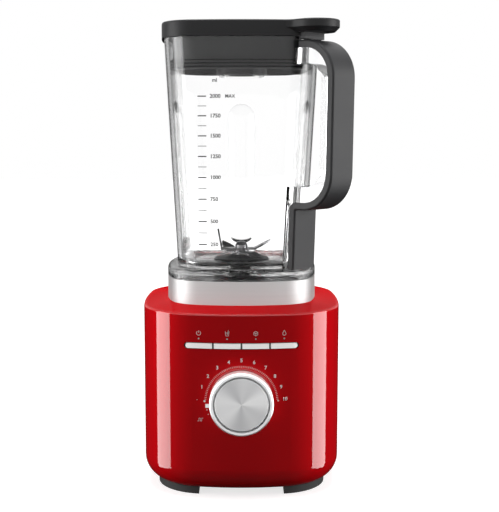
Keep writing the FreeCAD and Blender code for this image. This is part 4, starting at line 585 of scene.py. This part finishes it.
def print_jar_scale(ink):
    """Measuring marks on the jar: a line each 125 ml and a number each 250 ml.

    They are spaced as in a tapered square chamber that fills a share of its outline. This jar's own chamber
    fills more of it, and holds five to nine percent more than its marks read.
    """
    art = Artwork()
    floor, foot_width, share = 209.5 * MM, 117.1 * MM, 0.80
    taper = 2 * (JAR_HALF_TOP - JAR_HALF_FOOT) / (JAR_TOP - JAR_SHOULDER)
    left, right = -39.7 * MM, -31.9 * MM
    small, large, most = 125, 250, 2000
    for amount in range(large, most + 1, small):
        volume = amount * 1e-6
        width = (foot_width ** 3 + 3 * taper * volume / share) ** (1 / 3)
        level = floor + (width - foot_width) / taper
        numbered = amount % large == 0
        art.stroke([(left, level), (right, level)], (1.0 if numbered else 0.55) * MM)
        if numbered:
            art.words(str(amount), right + 3.2 * MM, level, 4.9 * MM, "LEFT", 0.14 * MM)
    art.words("MAX", right + 17.0 * MM, level, 4.2 * MM, "LEFT", 0.12 * MM)
    art.words("ml", right + 5.4 * MM, level + 14.2 * MM, 4.6 * MM, "LEFT", 0.12 * MM)
    art.print_on("jar_scale", on_jar, "jar_assembly", ink)


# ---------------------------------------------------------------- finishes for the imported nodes

KEYS = ("power", "smoothie", "ice", "clean")
FINISHES = {
    candy_red(): ["base_housing"],
    lid_plastic(): ["lid"],
    moulded("seat_charcoal", (0.03, 0.03, 0.032), (0.045, 0.045, 0.048), 0.5): [
        "jar_seat", "blade_carrier",
    ],
    moulded("soft_grip", (0.026, 0.026, 0.027), (0.038, 0.038, 0.04), 0.46, 1800.0, 0.00005, 0.22): [
        "handle_grip",
    ],
    moulded("black_nylon", (0.012, 0.012, 0.013), (0.022, 0.022, 0.024), 0.5): [
        "bottom_cover", "button_frame", "dial_sensor", "button_switches", "fan_shroud", "cooling_fan",
        "drive_coupling", "jar_coupling", "retaining_nut",
    ],
    moulded("black_rubber", (0.010, 0.010, 0.010), (0.022, 0.022, 0.022), 0.7, 1200.0, 0.00006): [
        "foot_front_left", "foot_front_right", "foot_rear_left", "foot_rear_right", "cord_gland", "seat_pad",
        "motor_bushes", "carrier_seal",
    ],
    ribbed_rubber(): ["lid_gasket"],
    machined("satin_keys", (0.9, 0.89, 0.87), (0.97, 0.96, 0.94), 0.5, 900.0, 0.8): [
        f"button_{key}" for key in KEYS
    ],
    moulded("milky_lens", (0.7, 0.7, 0.7), (0.9, 0.9, 0.9), 0.3): ["status_lights"],
    moulded("carbon", (0.012, 0.012, 0.013), (0.03, 0.03, 0.032), 0.6, 1500.0): [
        "carbon_brush_left", "carbon_brush_right",
    ],
    clear("clear_jar", (0.15, 0.15, 0.152), 1.0): ["jar"],
    clear("clear_cap", (0.3, 0.3, 0.31)): ["center_cap"],
    brushed_around("brushed_band", (0.4, 0.399, 0.398), (0.52, 0.518, 0.516), 0.55): ["jar_collar_band"],
    machined("satin_ring", (0.86, 0.86, 0.865), (0.92, 0.92, 0.925), 0.54, 300.0): ["dial_ring"],
    spun_disc(): ["dial_face"],
    brushed_around("blade_steel", (0.08, 0.08, 0.083), (0.17, 0.17, 0.173), 0.3, 1800.0): [
        "upper_blade", "lower_blade",
    ],
    machined("hub_steel", (0.2, 0.2, 0.205), (0.34, 0.34, 0.345), 0.3): ["blade_nut", "blade_shaft"],
    machined("turned_steel", (0.42, 0.42, 0.43), (0.58, 0.58, 0.59), 0.28): [
        "motor_shaft", "dial_shaft", "upper_bearing", "lower_bearing", "cover_screws",
        "motor_screws", "mount_screws",
    ],
    machined("cast_zinc", (0.36, 0.365, 0.37), (0.5, 0.505, 0.51), 0.45, 500.0): [
        "motor_top_bracket", "motor_bottom_bracket",
    ],
    machined("plain_brass", (0.5, 0.34, 0.12), (0.68, 0.48, 0.2), 0.3): [
        "brush_holder_left", "brush_holder_right", "shaft_bushes",
    ],
    laminated(): ["motor_stator", "armature_core"],
    wound(): ["stator_windings", "armature_windings", "commutator"],
    board(): ["control_board"],
}

for material, names in FINISHES.items():
    for name in names:
        nodes[name].data.materials.clear()
        nodes[name].data.materials.append(material)

white_ink = printed("white_ink", (0.95, 0.9, 0.88))
grey_ink = printed("grey_ink", (0.02, 0.02, 0.021))
print_dial_scale(white_ink)
print_key_icons(white_ink)
print_jar_scale(grey_ink)

# ---------------------------------------------------------------- camera, floor and light


def make_camera():
    lens = bpy.data.cameras.new("camera")
    lens.lens, lens.sensor_width, lens.shift_x = 72.67, 36.0, 0.0157
    camera = bpy.data.objects.new("camera", lens)
    camera.location = (0, -1.01188, 0.33733)
    camera.rotation_euler = (math.radians(90 - 6.97), 0, 0)
    bpy.context.scene.collection.objects.link(camera)
    bpy.context.scene.camera = camera


def make_floor():
    """A floor that reads as white to the camera and through the clear pieces, and keeps the shadow; its glow
    is dimmed near the object as a painted shadow.
    """
    bm = bmesh.new()
    bmesh.ops.create_grid(bm, x_segments=2, y_segments=2, size=6.0)
    made = Finish("pale_floor", Roughness=0.8, Emission_Color=(1.0, 1.0, 1.0))
    rays = made.make("ShaderNodeLightPath", output="Is Camera Ray")
    through = Signal(made, rays.socket.node.outputs["Is Transmission Ray"])
    glossy = Signal(made, rays.socket.node.outputs["Is Glossy Ray"])
    seen = rays.maths("MAXIMUM", rays, through)
    x, y, _ = made.axes()
    beyond = (x * x + y * y).root() - SHADOW_RADIUS
    # painted shadow: less glow within the shadow radius, for the camera and through the clear pieces
    plain = (beyond * 1.4).clamped() * 0.26 + 0.74
    bent = (beyond * 2.2).clamped()
    colour = made.between(seen, (0.06, 0.06, 0.06), (0.5, 0.5, 0.5))
    made.set(made.shader.inputs["Base Color"], colour)
    made.set(made.shader.inputs["Emission Strength"], rays * plain + through * bent)
    made.set(made.shader.inputs["Alpha"], 1.0 - (glossy - through).clamped())
    finished_mesh("floor", bm, made.material)


def make_world():
    """White for the camera and through the clear pieces; a dim room for light and for what is mirrored."""
    world = bpy.data.worlds.new("studio")
    bpy.context.scene.world = world
    world.use_nodes = True
    tree = world.node_tree
    tree.nodes.clear()
    finish = Finish.__new__(Finish)
    finish.tree = tree
    direction = finish.make("ShaderNodeTexCoord", output="Generated")
    split = tree.nodes.new("ShaderNodeSeparateXYZ")
    tree.links.new(direction.socket, split.inputs[0])
    depth, height = Signal(finish, split.outputs[1]), Signal(finish, split.outputs[2])
    camera = finish.make("ShaderNodeLightPath", output="Is Camera Ray")
    through = Signal(finish, camera.socket.node.outputs["Is Transmission Ray"])
    glossy = Signal(finish, camera.socket.node.outputs["Is Glossy Ray"])
    mirrored = (glossy - through).clamped()
    level = ((0.5 - height) * 2.5).clamped() * 0.9 + 0.1
    front = (0.1 - depth * 2.0).clamped()
    back = (depth * 1.5).clamped() * ((height - 0.02) * 5.0).clamped() * 1.3
    ahead = front * (((height + 0.17) * 5.0).clamped() * 1.9 + 0.05)
    sky = ((height - 0.3) * 2.0).clamped() * 0.35 + ahead + back + 0.01
    room = (depth * 0.5 + 0.5).clamped() * 0.25 + 0.04
    strength = camera + through * level + mirrored * sky + (1.0 - camera - glossy - through).clamped() * room
    background = finish.make("ShaderNodeBackground", {}, {"Color": (1.0, 1.0, 1.0), "Strength": strength})
    output = tree.nodes.new("ShaderNodeOutputWorld")
    tree.links.new(background.socket, output.inputs[0])


def soft_light(name, place, aim, width, height, radiance):
    """A soft box; its brightness is given as seen, so its size can change alone."""
    lamp = bpy.data.lights.new(name, "AREA")
    lamp.shape, lamp.size, lamp.size_y = "RECTANGLE", width, height
    lamp.energy = radiance * math.pi * width * height
    holder = bpy.data.objects.new(name, lamp)
    holder.location = place
    holder.rotation_euler = (Vector(aim) - Vector(place)).to_track_quat("-Z", "Y").to_euler()
    bpy.context.scene.collection.objects.link(holder)


make_camera()
make_floor()
make_world()
for side in (-1, 1):
    place, aim = (side * 0.9, SIDE_LIGHT_Y, 0.15), (0, SIDE_LIGHT_Y, 0.15)
    soft_light(f"side_light_{side}", place, aim, 0.517, 1.1, 6.7)
soft_light("top_light", (0, 0.15, 1.5), (0, 0, 0.2), 0.9, 0.9, 7.5)

bpy.context.scene.view_settings.view_transform = "Standard"
